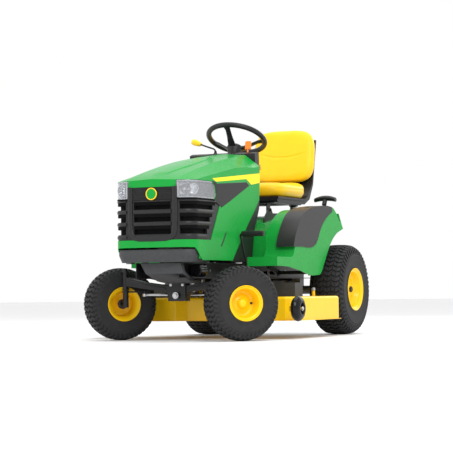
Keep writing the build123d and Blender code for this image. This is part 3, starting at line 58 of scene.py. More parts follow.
# ---------------------------------------------------------------- materials
def material(name, colour, rough=0.5, metal=0.0, vary=0.06, grain=60.0, bump=0.0, bump_size=900.0, coat=0.0,
             rough_vary=0.08, shine=0.35):
    """Procedural finish: broad colour variation, roughness variation and a fine moulded or cast bump."""
    mat = bpy.data.materials.new(name)
    mat.use_nodes = True
    tree = mat.node_tree
    shader = tree.nodes["Principled BSDF"]
    shader.inputs["Metallic"].default_value = metal
    shader.inputs["Coat Weight"].default_value = coat
    shader.inputs["Coat Roughness"].default_value = 0.06
    shader.inputs["Specular IOR Level"].default_value = 0.5 if metal > 0.5 else shine
    where = tree.nodes.new("ShaderNodeTexCoord")
    broad = tree.nodes.new("ShaderNodeTexNoise")
    broad.inputs["Scale"].default_value = grain
    broad.inputs["Detail"].default_value = 6.0
    tree.links.new(where.outputs["Object"], broad.inputs["Vector"])
    shades = tree.nodes.new("ShaderNodeValToRGB")
    shades.color_ramp.elements[0].position = 0.3
    shades.color_ramp.elements[1].position = 0.7
    shades.color_ramp.elements[0].color = (*[c * (1 - vary) for c in colour], 1)
    shades.color_ramp.elements[1].color = (*[min(1.0, c * (1 + vary)) for c in colour], 1)
    tree.links.new(broad.outputs["Fac"], shades.inputs["Fac"])
    tree.links.new(shades.outputs["Color"], shader.inputs["Base Color"])
    spread = tree.nodes.new("ShaderNodeMapRange")
    spread.inputs["To Min"].default_value = max(0.02, rough - rough_vary)
    spread.inputs["To Max"].default_value = min(1.0, rough + rough_vary)
    tree.links.new(broad.outputs["Fac"], spread.inputs["Value"])
    tree.links.new(spread.outputs["Result"], shader.inputs["Roughness"])
    if bump:
        fine = tree.nodes.new("ShaderNodeTexNoise")
        fine.inputs["Scale"].default_value = bump_size
        fine.inputs["Detail"].default_value = 3.0
        tree.links.new(where.outputs["Object"], fine.inputs["Vector"])
        height = tree.nodes.new("ShaderNodeBump")
        height.inputs["Strength"].default_value = bump
        height.inputs["Distance"].default_value = 0.0006
        tree.links.new(fine.outputs["Fac"], height.inputs["Height"])
        tree.links.new(height.outputs["Normal"], shader.inputs["Normal"])
    return mat


def clear_lens_material():
    """Thin clear moulding that shows the lamp behind it."""
    mat = material("clear_lens", (0.55, 0.57, 0.60), rough=0.06, rough_vary=0.02, grain=25.0)
    shader = mat.node_tree.nodes["Principled BSDF"]
    shader.inputs["Alpha"].default_value = 0.24
    shader.inputs["IOR"].default_value = 1.5
    return mat


GREEN = material("green_paint", (0.010, 0.300, 0.042), rough=0.27, coat=0.04, vary=0.04, grain=8.0,
                 bump=0.03, bump_size=300.0, rough_vary=0.03, shine=0.12)
YELLOW = material("yellow_paint", (0.93, 0.56, 0.005), rough=0.30, coat=0.10, vary=0.04, grain=10.0,
                  bump=0.05, bump_size=400.0, rough_vary=0.05, shine=0.25)
BLACK = material("black_paint", (0.009, 0.009, 0.010), rough=0.36, vary=0.2, bump=0.06, bump_size=500.0)
STEEL = material("bare_steel", (0.55, 0.55, 0.56), rough=0.30, metal=1.0, vary=0.08, bump=0.05)
CAST = material("engine_metal", (0.22, 0.22, 0.23), rough=0.55, metal=0.8, vary=0.12, bump=0.35,
                bump_size=260.0)
ENGINE = material("engine_cover", (0.014, 0.014, 0.015), rough=0.55, vary=0.2, bump=0.3, bump_size=700.0)
RUBBER = material("tyre_rubber", (0.017, 0.017, 0.018), rough=0.72, vary=0.25, grain=35.0, bump=0.25,
                  bump_size=420.0)
BELT = material("belt_rubber", (0.018, 0.018, 0.018), rough=0.8, vary=0.2, bump=0.3, bump_size=500.0)
PLASTIC = material("black_plastic", (0.011, 0.011, 0.012), rough=0.42, vary=0.18, bump=0.22, bump_size=1100.0)
GREY = material("grey_plastic", (0.040, 0.041, 0.043), rough=0.55, vary=0.14, bump=0.35, bump_size=1000.0)
GLOSS = material("gloss_black", (0.006, 0.006, 0.007), rough=0.14, vary=0.2, rough_vary=0.04, shine=0.2)
KNOB = material("yellow_plastic", (0.90, 0.56, 0.01), rough=0.32, vary=0.05, bump=0.05)
ORANGE = material("orange_plastic", (0.88, 0.22, 0.02), rough=0.35, vary=0.05, bump=0.05)
TANK = material("tank_plastic", (0.50, 0.50, 0.47), rough=0.5, vary=0.05, bump=0.1, bump_size=500.0)
VINYL = material("seat_vinyl", (0.93, 0.54, 0.008), rough=0.42, vary=0.035, grain=12.0, bump=0.28,
                 bump_size=620.0, rough_vary=0.06, shine=0.3)
EXHAUST = material("exhaust_steel", (0.035, 0.035, 0.036), rough=0.6, metal=0.4, vary=0.25, bump=0.2,
                   bump_size=300.0)
MIRROR = material("lamp_reflector", (0.66, 0.67, 0.69), rough=0.16, metal=1.0, vary=0.04, rough_vary=0.05)
SILVER = material("lamp_surround", (0.40, 0.41, 0.43), rough=0.3, metal=0.6, vary=0.06)
STRIPE = material("stripe_film", (0.95, 0.72, 0.004), rough=0.35, vary=0.03, shine=0.2)
# Near-black painted shade: darker than the black plastic, it stands in for the shadow inside the grille's
# slots and behind its vanes
SHADOW = material("grille_painted_shade", (0.0025, 0.0025, 0.003), rough=0.8, vary=0.3, shine=0.08)
LENS = clear_lens_material()

SLOT_MATERIALS = {
    "green_paint": GREEN, "yellow_paint": YELLOW, "black_paint": BLACK, "bare_steel": STEEL,
    "engine_metal": CAST, "engine_cover": ENGINE, "tyre_rubber": RUBBER, "belt_rubber": BELT,
    "black_plastic": PLASTIC, "grey_plastic": GREY, "gloss_black": GLOSS, "yellow_plastic": KNOB,
    "orange_plastic": ORANGE, "tank_plastic": TANK, "seat_vinyl": VINYL, "exhaust_steel": EXHAUST,
    "clear_lens": LENS}

for entry in frame["record"]["subparts"]:
    mesh = nodes[entry["node"]].data
    mesh.materials.clear()
    mesh.materials.append(SLOT_MATERIALS[entry["material_slot"]])


# ---------------------------------------------------------------- mesh building
def across(axis):
    """Two unit vectors square to an axis."""
    helper = Vector((0, 0, 1)) if abs(axis.z) < 0.9 else Vector((1, 0, 0))
    first = axis.cross(helper).normalized()
    return first, axis.cross(first).normalized()


class Shape:
    """Collects vertices and faces, in metres, and turns them into one named piece."""

    def __init__(self):
        self.verts = []
        self.faces = []

    def add(self, verts, faces):
        start = len(self.verts)
        self.verts += [Vector(v) for v in verts]
        self.faces += [[start + index for index in face] for face in faces]

    def turned(self, profile, centre, axis, steps=64, closed=False):
        """Revolve (radius, height) millimetre pairs about the axis through centre."""
        axis = Vector(axis).normalized()
        first, second = across(axis)
        count = len(profile)
        verts = []
        for step in range(steps):
            turn = tau * step / steps
            spoke = first * cos(turn) + second * sin(turn)
            verts += [centre + (axis * height + spoke * radius) * MM for radius, height in profile]
        faces = []
        for step in range(steps):
            here = step * count
            there = (step + 1) % steps * count
            for index in range(count if closed else count - 1):
                after = (index + 1) % count
                faces.append([here + index, here + after, there + after, there + index])
        self.add(verts, faces)

    def prism(self, low, high):
        """Solid between two outlines with the same number of points."""
        count = len(low)
        sides = [[i, (i + 1) % count, count + (i + 1) % count, count + i] for i in range(count)]
        self.add(list(low) + list(high), sides + [list(range(count))[::-1], list(range(count, 2 * count))])

    def box(self, low, high):
        """Box between two machine-millimetre corners."""
        corners = [(low[0], low[1]), (high[0], low[1]), (high[0], high[1]), (low[0], high[1])]
        self.prism([at(x, y, low[2]) for x, y in corners], [at(x, y, high[2]) for x, y in corners])

    def tube(self, points, radius, sides=12, closed=False):
        """Round bar of millimetre radius through shared-frame points."""
        rings = []
        count = len(points)
        side = None
        for index, point in enumerate(points):
            before = points[index - 1] if index or closed else point
            after = points[(index + 1) % count] if index < count - 1 or closed else point
            run = (after - before).normalized()
            if side is None:
                side = across(run)[0]
            side = (side - run * side.dot(run)).normalized()
            up = run.cross(side)
            rings.append([point + (side * cos(tau * k / sides) + up * sin(tau * k / sides)) * radius * MM
                          for k in range(sides)])
        self.loft(rings, closed)

    def loft(self, rings, closed=False):
        """Skin over rings of points, capped at both ends unless it closes on itself."""
        sides = len(rings[0])
        count = len(rings)
        faces = []
        for ring in range(count if closed else count - 1):
            here = ring * sides
            there = (ring + 1) % count * sides
            faces += [[here + k, here + (k + 1) % sides, there + (k + 1) % sides, there + k]
                      for k in range(sides)]
        if not closed:
            faces += [list(range(sides))[::-1], [(count - 1) * sides + k for k in range(sides)]]
        self.add([point for ring in rings for point in ring], faces)

    def bolt(self, centre, axis, size=8.0):
        """Hexagon head on a washer."""
        axis = Vector(axis).normalized()
        self.turned([(0, 0), (1.15 * size, 0), (1.15 * size, 1.6), (0, 1.6)], centre, axis, steps=24)
        self.turned([(0, 1.5), (0.86 * size, 1.5), (0.86 * size, 0.55 * size), (0.7 * size, 0.66 * size),
                     (0, 0.68 * size)], centre, axis, steps=6)

    def make(self, name, mat, body, smooth=35.0, bevel=0.0, subdiv=0, stands_for=()):
        """Finish the piece: clean mesh, smooth shading, material and the body it rides on."""
        mesh = bpy.data.meshes.new(name)
        mesh.from_pydata(self.verts, [], self.faces)
        tidy = bmesh.new()
        tidy.from_mesh(mesh)
        bmesh.ops.remove_doubles(tidy, verts=tidy.verts, dist=0.00002)
        bmesh.ops.recalc_face_normals(tidy, faces=tidy.faces)
        for edge in tidy.edges:
            edge.smooth = len(edge.link_faces) == 2 and edge.calc_face_angle() < radians(smooth)
        for face in tidy.faces:
            face.smooth = True
        tidy.to_mesh(mesh)
        tidy.free()
        mesh.materials.append(mat)
        piece = bpy.data.objects.new(name, mesh)
        bpy.context.scene.collection.objects.link(piece)
        if bevel:
            rounding = piece.modifiers.new("edge_rounding", "BEVEL")
            rounding.width = bevel * MM
            rounding.segments = 3
            rounding.limit_method = "ANGLE"
        if subdiv:
            soften = piece.modifiers.new("soften", "SUBSURF")
            soften.levels = subdiv
            soften.render_levels = subdiv
        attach(piece, body)
        if stands_for:
            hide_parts(*stands_for)
        return piece


SLOT_OF = {mat.name: slot for slot, mat in SLOT_MATERIALS.items()}
SLOT_OF[MIRROR.name] = "bare_steel"
SLOT_OF[SILVER.name] = "bare_steel"
SLOT_OF[STRIPE.name] = "yellow_plastic"
SLOT_OF[SHADOW.name] = "black_plastic"


def between(pairs, value):
    """Straight-line value from (key, value) pairs."""
    for (low, a), (high, b) in zip(pairs, pairs[1:]):
        if value <= high:
            return a + (b - a) * (value - low) / (high - low)
    return pairs[-1][1]


def smooth_line(points, steps=8):
    """Catmull-Rom line through points."""
    line = []
    last = len(points) - 1
    for index in range(last):
        p0 = points[max(index - 1, 0)]
        p1 = points[index]
        p2 = points[index + 1]
        p3 = points[min(index + 2, last)]
        for step in range(steps):
            t = step / steps
            line.append(0.5 * (2 * p1 + (p2 - p0) * t + (2 * p0 - 5 * p1 + 4 * p2 - p3) * t * t
                               + (3 * p1 - p0 - 3 * p2 + p3) * t ** 3))
    line.append(points[-1])
    return line


# ---------------------------------------------------------------- wheels
FRONT_Y = -597.0
REAR_Y = 643.0
KINGPIN_X = 312.0
WHEEL_OFFSET = 92.0
REAR_WHEEL_X = 406.5
STEER_REST = radians(-43.0)
FRONT_TYRE_R = 190.5
REAR_TYRE_R = 254.0
FRONT_TYRE_WIDTH = 146.0
REAR_TYRE_WIDTH = 203.0
FRONT_BEAD = 76.0
REAR_BEAD = 101.0
FRONT_BARS = 44
REAR_BARS = 52
FRONT_ROWS = (-0.99, -0.84, -0.6, -0.3, 0.0, 0.3, 0.6, 0.84, 0.99)
REAR_ROWS = (-0.99, -0.86, -0.66, -0.44, -0.22, 0.0, 0.22, 0.44, 0.66, 0.86, 0.99)
TREAD_DEPTH = 8.5
TREAD_GAP = 0.012
TREAD_LEAN = 0.42
VALVE = [(0, 0), (6.5, 0), (6.5, 1.5), (4, 3), (4, 10), (2.6, 11), (2.6, 17), (0, 17.5)]


def front_wheel(side):
    """Centre and outward direction of a front wheel at rest."""
    out = Vector((side * cos(STEER_REST), side * sin(STEER_REST), 0))
    return at(side * KINGPIN_X, FRONT_Y, FRONT_TYRE_R) + out * WHEEL_OFFSET * MM, out


def tyre(name, node, body, centre, axis, radius, width, bead, bars, rows):
    """Turf tyre: hollow carcass with sidewall rings, and bars of tread blocks in a zigzag."""
    half = width / 2
    wall = radius - bead
    crown = [(0.0, radius), (0.36, radius - 0.5), (0.66, bead + 0.965 * wall), (0.88, bead + 0.87 * wall),
             (0.99, bead + 0.70 * wall)]
    outer = [(bead, 0.80), (bead + 0.05 * wall, 0.87), (bead + 0.13 * wall, 0.90),
             (bead + 0.15 * wall, 0.935), (bead + 0.19 * wall, 0.94), (bead + 0.22 * wall, 0.925),
             (bead + 0.42 * wall, 0.985), (bead + 0.56 * wall, 0.985), (bead + 0.575 * wall, 1.0),
             (bead + 0.61 * wall, 1.0), (bead + 0.63 * wall, 0.97), (bead + 0.70 * wall, 0.955)]
    shoulder = [(between(crown, x) - TREAD_DEPTH, 0.97 * x)
                for x in (0.97, 0.88, 0.78, 0.66, 0.5, 0.36, 0.15)]
    ring = [(r, x * half) for r, x in outer + shoulder]
    inner = [(bead + 0.80 * wall, 0.55), (bead + 0.70 * wall, 0.84), (bead + 0.4 * wall, 0.88), (bead, 0.7)]
    inside = [(r, x * half) for r, x in inner]
    profile = ring + [(r, -x) for r, x in reversed(ring)] + [(r, -x) for r, x in reversed(inside)] + inside
    shape = Shape()
    shape.turned(profile, centre, axis, steps=144, closed=True)
    axis = Vector(axis).normalized()
    first, second = across(axis)
    pitch = tau / bars

    def on_tyre(turn, x, depth):
        r = between(crown, abs(x)) - depth
        spoke = first * cos(turn) + second * sin(turn)
        return centre + (spoke * r + axis * x * half) * MM

    for row, (low, high) in enumerate(zip(rows, rows[1:])):
        lean = TREAD_LEAN * pitch * (1 if row % 2 else -1)
        long = 0.33 if abs(low + high) < 1.75 else 0.27
        middle = (low + high) / 2
        for bar in range(bars):
            turn = pitch * (bar + 0.5 * (abs(middle) > 0.86 and row % 2))
            corners = []
            for x, shift in ((low + TREAD_GAP, -lean / 2), (high - TREAD_GAP, lean / 2)):
                corners += [(turn + shift - long * pitch, x), (turn + shift + long * pitch, x)]
            order = (corners[0], corners[1], corners[3], corners[2])
            foot = [on_tyre(t, x, TREAD_DEPTH + 2) for t, x in order]
            top = [on_tyre(turn + (t - turn) * 0.9, middle + (x - middle) * 0.94, 0) for t, x in order]
            shape.prism(foot, top)
    shape.make(name, RUBBER, body, smooth=32, stands_for=(node,))


def rim(name, node, body, centre, axis, bead, half, disc, dome, rise, hub_back, stub):
    """Pressed and dished rim with a domed middle, flanges and a hub tube behind."""
    flange = 1.19 * bead
    lip = half + 0.65 * (flange - bead)
    front = [(flange, lip), (flange, lip + 2), (flange - 3, lip + 2.5), (bead + 2, half - 1),
             (bead - 3, half - 9), (bead - 6, disc + 10), (bead - 10, disc - 2), (bead - 17, disc - 7),
             (0.66 * bead, disc - 7), (0.55 * bead, disc - 2), (0.48 * bead, disc + 1), (dome + 6, disc + 2),
             (dome, disc + 0.2 * rise), (dome - 3, disc + 0.6 * rise), (0.7 * dome, disc + 0.85 * rise),
             (0.4 * dome, disc + 0.98 * rise), (0, disc + rise)]
    back = [(0, hub_back), (stub, hub_back), (stub, disc - 6), (0.5 * bead, disc - 5),
            (0.66 * bead, disc - 11), (bead - 17, disc - 11), (bead - 12, disc - 8), (bead - 9, -half + 8),
            (bead - 4, -half - 2), (flange - 3, -lip - 2.5), (flange, -lip - 2), (flange, -lip),
            (bead - 0.5, -half), (bead - 0.5, half)]
    shape = Shape()
    shape.turned(front + back, centre, axis, steps=96)
    shape.turned([back[-1], front[0]], centre, axis, steps=96)
    shape.make(name, YELLOW, body, smooth=40, stands_for=(node,))


for side, word in ((1, "left"), (-1, "right")):
    hub, out = front_wheel(side)
    wheel_body = f"front_{word}_wheel"
    tyre(f"turf_tyre_front_{word}", f"front_tyre_{word}", wheel_body, hub, out, FRONT_TYRE_R,
         FRONT_TYRE_WIDTH, FRONT_BEAD, FRONT_BARS, FRONT_ROWS)
    rim(f"pressed_rim_front_{word}", f"front_rim_{word}", wheel_body, hub, out, FRONT_BEAD, half=60.0,
        disc=6.0, dome=27.0, rise=28.0, hub_back=-36.5, stub=19.0)
    fitting = Shape()
    forwards = Vector((0, 0, 1)).cross(out)
    fitting.turned(VALVE, hub + forwards * 0.056 - out * 0.0005, out, steps=24)
    inner = hub - out * 0.0367
    fitting.turned([(12, 0), (26, 0), (26, -4), (18, -9), (12, -9)], inner, out, steps=40, closed=True)
    fitting.make(f"wheel_fittings_front_{word}", PLASTIC, wheel_body)
    hub = at(side * REAR_WHEEL_X, REAR_Y, REAR_TYRE_R)
    out = Vector((side, 0, 0))
    wheel_body = f"rear_{word}_wheel"
    tyre(f"turf_tyre_rear_{word}", f"rear_tyre_{word}", wheel_body, hub, out, REAR_TYRE_R,
         REAR_TYRE_WIDTH, REAR_BEAD, REAR_BARS, REAR_ROWS)
    rim(f"pressed_rim_rear_{word}", f"rear_rim_{word}", wheel_body, hub, out, REAR_BEAD, half=83.3,
        disc=54.0, dome=30.0, rise=10.5, hub_back=-50.5, stub=24.0)
    fitting = Shape()
    fitting.turned([(0, 0), (17, 0), (17, 7), (13, 11), (0, 11.5)], hub + out * 0.064, out, steps=40)
    fitting.turned(VALVE, hub + Vector((0, -0.3, -0.95)) * 0.066 + out * 0.047, out, steps=24)
    fitting.make(f"wheel_fittings_rear_{word}", PLASTIC, wheel_body)


# ---------------------------------------------------------------- hood
HOOD_X = 226.0
HOOD_FRONT_Y = -897.0
CORNER_R = 68.0
FRONT_BOW = 14.0
CORNER_X = HOOD_X - CORNER_R
CORNER_Y = -822.2
SKIN_Z = 778
VANES = ((517, 541), (584, 605), (645, 667), (705, 715))
LOWEST_VANE_Z = 517
# Height of the painted shadow strip set under each vane
SLOT_SHADOW = 15
VANE_REACH = 106
SIDE_VANE_START = 148
RIBS = 8
RIB_PITCH = 8
LAMP_START_X = 137
LAMP_END_Y = -640
LAMP_AXIS_Z = 768
SURROUND_PATH = ((126, 782), (126, 740), (127, 650), (125, 570), (118, 540), (100, 526), (70, 521), (0, 520))
HOOD_TOP = ((-900, 812, 820), (-787, 850, 858), (-611, 892, 902), (-455, 925, 936), (-300, 953, 964),
            (-50, 990, 1000))


def hood_plan(start_x, end_y, side):
    """Hood outline from start_x on its front to end_y on its side, as (x, y, outward x, outward y)."""
    steps = []
    for index in range(9):
        x = start_x + (CORNER_X - start_x) * index / 8
        slope = 2 * FRONT_BOW * x / HOOD_X ** 2
        steps.append((x, HOOD_FRONT_Y + FRONT_BOW * (x / HOOD_X) ** 2, slope, -1.0))
    if end_y is not None:
        for index in range(1, 13):
            turn = radians(5 + 85 * index / 12)
            steps.append((CORNER_X + CORNER_R * sin(turn), CORNER_Y - CORNER_R * cos(turn), sin(turn),
                          -cos(turn)))
        steps.append((HOOD_X, end_y, 1.0, 0.0))
    return [(side * x, y, side * nx, ny) for x, y, nx, ny in steps]


def band(shape, plan, section):
    """Moulding that follows the hood's outline: section holds (outward, height) pairs."""
    shape.loft([[at(x + nx * out, y + ny * out, z) for out, z in section] for x, y, nx, ny in plan])


def front_plan(reach):
    """The middle of the hood's front, from -reach to reach."""
    points = []
    for index in range(17):
        x = -reach + 2 * reach * index / 16
        points.append((x, HOOD_FRONT_Y + FRONT_BOW * (x / HOOD_X) ** 2, 0.0, -1.0))
    return points


louvres = Shape()
# Painted shade: near-black strips behind each gap between vanes stand in for the shadow inside the slots
slot_shade_strips = Shape()
for low, high in VANES:
    rise = high - low
    section = [(-12, low), (-3, low), (2, low + 0.25 * rise), (3.5, low + 0.55 * rise), (1, low + 0.9 * rise),
               (-5, high), (-12, high)]
    # Section of the painted-shade strip set back under each vane
    hollow = [(-6, low - SLOT_SHADOW), (-2.2, low - SLOT_SHADOW), (-2.2, low + 1), (-6, low + 1)]
    band(louvres, front_plan(VANE_REACH), section)
    if low > LOWEST_VANE_Z:
        band(slot_shade_strips, front_plan(VANE_REACH - 2), hollow)
    for side in (-1, 1):
        side_end = -712 + 0.60 * (low - 543)
        band(louvres, hood_plan(SIDE_VANE_START, side_end, side), [(out - 1.5, z) for out, z in section])
        if low > LOWEST_VANE_Z:
            band(slot_shade_strips, hood_plan(SIDE_VANE_START + 4, side_end - 8, side), hollow)
louvres.make("grille_vanes", PLASTIC, "hood", smooth=50)
slot_shade_strips.make("grille_slot_shadows", SHADOW, "hood", smooth=50)

ribs = Shape()
for level in range(RIBS):
    z = 716 + RIB_PITCH * level
    band(ribs, front_plan(112), [(-6, z), (-2.2, z), (-0.5, z + 1.2), (-0.5, z + 3.2), (-2.2, z + 4.4),
                                 (-6, z + 4.4)])
ribs.make("grille_ribs", PLASTIC, "hood", smooth=50)

surround = Shape()
loop = list(SURROUND_PATH) + [(-x, z) for x, z in reversed(SURROUND_PATH[:-1])]
rings = []
for index, (x, z) in enumerate(loop):
    before = Vector(loop[max(index - 1, 0)])
    after = Vector(loop[min(index + 1, len(loop) - 1)])
    run = (after - before).normalized()
    inward = Vector((run.y, -run.x))
    ring = []
    for reach, out in ((-15, -12), (-15, -1), (-9, 5), (9, 5), (15, -1), (15, -12)):
        px = x + inward.x * reach
        pz = z + inward.y * reach
        ring.append(at(px, HOOD_FRONT_Y + FRONT_BOW * (px / HOOD_X) ** 2 - out, pz))
    rings.append(ring)
surround.loft(rings)
surround.make("grille_surround", PLASTIC, "hood", smooth=50)

# Painted shade: a near-black sheet behind the grille and a strip under each lamp stand in for the shadow
# there
shade_backing = Shape()
band(shade_backing, front_plan(118), [(-20, 518), (-17, 518), (-17, SKIN_Z), (-20, SKIN_Z)])
for side in (-1, 1):
    band(shade_backing, hood_plan(118, -606, side), [(-20, 518), (-17, 518), (-17, 700), (-20, 700)])
    band(shade_backing, hood_plan(LAMP_START_X, LAMP_END_Y - 2, side),
         [(-6, 716), (0.8, 717), (0.8, 724), (-6, 725)])
shade_backing.make("grille_painted_shade_sheet", SHADOW, "hood", smooth=50)

badge = Shape()
badge_place = at(0, HOOD_FRONT_Y - 1, 746)
badge.turned([(26, 0), (31, 0), (31, 4), (28.5, 5.5), (26, 4)], badge_place, (0, -1, 0), steps=64,
             closed=True)
badge.make("plain_badge_ring", KNOB, "hood")
badge = Shape()
badge.turned([(0, 0), (26.5, 0), (26.5, 3), (18, 4), (0, 4.6)], badge_place, (0, -1, 0), steps=64)
badge.make("plain_badge_face", GREEN, "hood")

for side, word in ((1, "left"), (-1, "right")):
    plan = hood_plan(LAMP_START_X, LAMP_END_Y, side)
    housing = Shape()
    band(housing, plan, [(-7, 812), (-40, 810), (-40, 726), (-7, 724), (-7, 726), (-38, 728), (-38, 808),
                         (-7, 810)])
    inner_wall = sorted((side * LAMP_START_X, side * (LAMP_START_X + 2)))
    housing.box((inner_wall[0], -888, 725), (inner_wall[1], -846, 811))
    housing.make(f"lamp_housing_{word}", GREY, "hood", smooth=40)
    trim = Shape()
    band(trim, plan, [(-7, 724), (-2.2, 724), (-2.2, 729), (-7, 731)])
    band(trim, plan, [(-7, 805), (-2.2, 807), (-2.2, 812), (-7, 812)])
    for x, y in ((140, -891), (144, -890)):
        trim.box((min(side * x, side * (x + 5)), y, 726), (max(side * x, side * (x + 5)), y + 10, 810))
    trim.make(f"lamp_trim_{word}", SILVER, "hood", smooth=40)
    bowl = Shape()
    for x, y, aim, size in ((170, -862, (0, -1, 0), 37), (203, -838, (side * 0.75, -0.66, 0), 26)):
        place = at(side * x, y, LAMP_AXIS_Z)
        bowl.turned([(0, -0.6 * size), (0.3 * size, -0.56 * size), (0.6 * size, -0.38 * size),
                     (0.85 * size, -0.1 * size), (size, 0.2 * size), (size + 2, 0.2 * size),
                     (size + 2, 0.1 * size)], place, aim, steps=48)
        bowl.turned([(0, 0.3 * size), (0.16 * size, 0.24 * size), (0.2 * size, 0), (0.2 * size, -0.5 * size)],
                    place, aim, steps=32)
    bowl.make(f"lamp_bowls_{word}", MIRROR, "hood", smooth=50)


def side_plate(name, mat, side, outline, inner, outer, bevel=0.0):
    """Thin plate on the hood's side, from (Y, Z) points."""
    plate = Shape()
    plate.prism([at(side * inner, y, z) for y, z in outline], [at(side * outer, y, z) for y, z in outline])
    return plate.make(name, mat, "hood", bevel=bevel)


for side, word in ((1, "left"), (-1, "right")):
    side_plate(f"side_stripe_{word}", STRIPE, side,
               [(-658, 829), (-611, 814), (-235, 846), (-171, 819), (-57, 835), (-57, 886)],
               HOOD_X - 1, HOOD_X + 0.6)
    side_plate(f"side_panel_{word}", GLOSS, side,
               [(-611, 804), (-236, 830), (-197, 813), (-454, 717), (-554, 682), (-600, 748)],
               HOOD_X - 1, HOOD_X + 1.4, bevel=1.0)
    side_plate(f"side_panel_front_{word}", GLOSS, side,
               [(-663, 817), (-611, 812), (-600, 800), (-548, 684), (-566, 690), (-640, 716), (-611, 744),
                (-626, 791)], HOOD_X - 1, HOOD_X + 1.2, bevel=0.5)
    side_plate(f"side_vent_{word}", PLASTIC, side,
               [(-500, 558), (-491, 553), (-553, 480), (-563, 485)], HOOD_X - 1, HOOD_X + 0.8, bevel=0.5)


def hood_height(x, y):
    """Height of the hood's crown between its two creases."""
    crease = between([(row[0], row[1]) for row in HOOD_TOP], y)
    crown = between([(row[0], row[2]) for row in HOOD_TOP], y)
    return crown + (crease - crown) * abs(x) / 140


raised = Shape()
rings = []
for index in range(31):
    y = -872 + (872 - 250) * index / 30
    wide = 40 + 34 * min(1.0, index / 14)
    lift = 4.0 * min(1.0, index / 4, (30 - index) / 4)
    row = [(-wide, -3), (-wide + 9, lift), (-wide * 0.4, lift + 1), (wide * 0.4, lift + 1),
           (wide - 9, lift), (wide, -3)]
    rings.append([at(x, y, hood_height(x, y) + high) for x, high in row])
raised.loft(rings)
raised.make("hood_raised_centre", GREEN, "hood", smooth=28)


# ---------------------------------------------------------------- steering wheel and levers
COLUMN_TILT = radians(25)
COLUMN = Vector((0, sin(COLUMN_TILT), cos(COLUMN_TILT)))
WHEEL_HUB = at(0, 106.1, 1014.6)
RIM_RISE = 92.0
RIM_R = 157.0
GRIP_R = 14.5
SPOKE_TURNS = (15, 165, 270)
THROTTLE_X = 133.0
wheel = Shape()
grip = [(RIM_R + GRIP_R * cos(tau * k / 20), RIM_RISE + GRIP_R * sin(tau * k / 20)) for k in range(20)]
wheel.turned(grip, WHEEL_HUB, COLUMN, steps=96, closed=True)
wheel.turned([(9.5, -20), (30, -20), (35, -4), (42, 18), (44, 34), (40, 42), (26, 47), (0, 49)], WHEEL_HUB,
             COLUMN, steps=64)
back = Vector((0, COLUMN.z, -COLUMN.y))
for degrees in SPOKE_TURNS:
    reach = Vector((1, 0, 0)) * cos(radians(degrees)) + back * sin(radians(degrees))
    tangent = COLUMN.cross(reach)
    rings = []
    for out, rise, wide, deep in ((18, 24, 52, 26), (50, 36, 42, 18), (86, 60, 32, 13), (120, 82, 30, 12),
                                  (148, 91, 40, 15), (160, 92, 44, 12)):
        middle = WHEEL_HUB + (reach * out + COLUMN * rise) * MM
        corners = ((-1, -0.5), (-0.85, 0.7), (-0.3, 1), (0.3, 1), (0.85, 0.7), (1, -0.5), (0.4, -1),
                   (-0.4, -1))
        rings.append([middle + (tangent * u * wide / 2 + COLUMN * v * deep / 2) * MM for u, v in corners])
    wheel.loft(rings)
wheel.make("steering_wheel_moulded", PLASTIC, "steering_column", smooth=50, stands_for=("steering_wheel",))

stalk = Shape()
stalk_foot = at(-66, 6, 1000)
stalk.tube(smooth_line([stalk_foot, at(-66, 6, 1020), at(-76, 6.5, 1034), at(-110, 8, 1046),
                        at(-172, 12, 1068)]), 4.5)
stalk.turned([(0, -22), (11, -22), (11, 6), (9, 12), (7, 14), (8, 18), (6, 22), (5, 24), (0, 24)], stalk_foot,
             (0, 0, 1), steps=32)
stalk.make("blade_switch_stalk", PLASTIC, "blade_switch", stands_for=("pto_lever",))
knob = Shape()
knob.turned([(0, 0), (8, 0), (11, 4), (14, 14), (17, 32), (17.5, 46), (14, 56), (7, 59.5), (0, 60)],
            at(-156, 11, 1062.3), (-46, 3, 16.3), steps=40)
knob.make("blade_switch_knob", KNOB, "blade_switch")

paddle = Shape()
stem = ((-14, 988), (-2, 988), (6, 1034), (-6, 1034))
paddle.prism([at(THROTTLE_X - 2.5, y, z) for y, z in stem], [at(THROTTLE_X + 2.5, y, z) for y, z in stem])
paddle.turned([(0, -4), (7, -4), (7, 4), (0, 4)], at(THROTTLE_X, -8, 990), (1, 0, 0), steps=32)
face = ((-17, 1025), (-15, 1022), (15, 1022), (17, 1025), (17, 1064), (12, 1069), (-12, 1069), (-17, 1064))
PADDLE_Z = 1046
PADDLE_LEAN = 0.15
for low, high, grow in ((-2, 8, 1.0), (-5, -2, 0.9)):
    rows = []
    for y in (low, high):
        rows.append([at(THROTTLE_X + x * grow, y + PADDLE_LEAN * (z - PADDLE_Z),
                        PADDLE_Z + (z - PADDLE_Z) * grow) for x, z in face])
    paddle.prism(rows[0], rows[1])
paddle.make("throttle_paddle", ORANGE, "throttle", bevel=1.5, stands_for=("throttle_lever",))


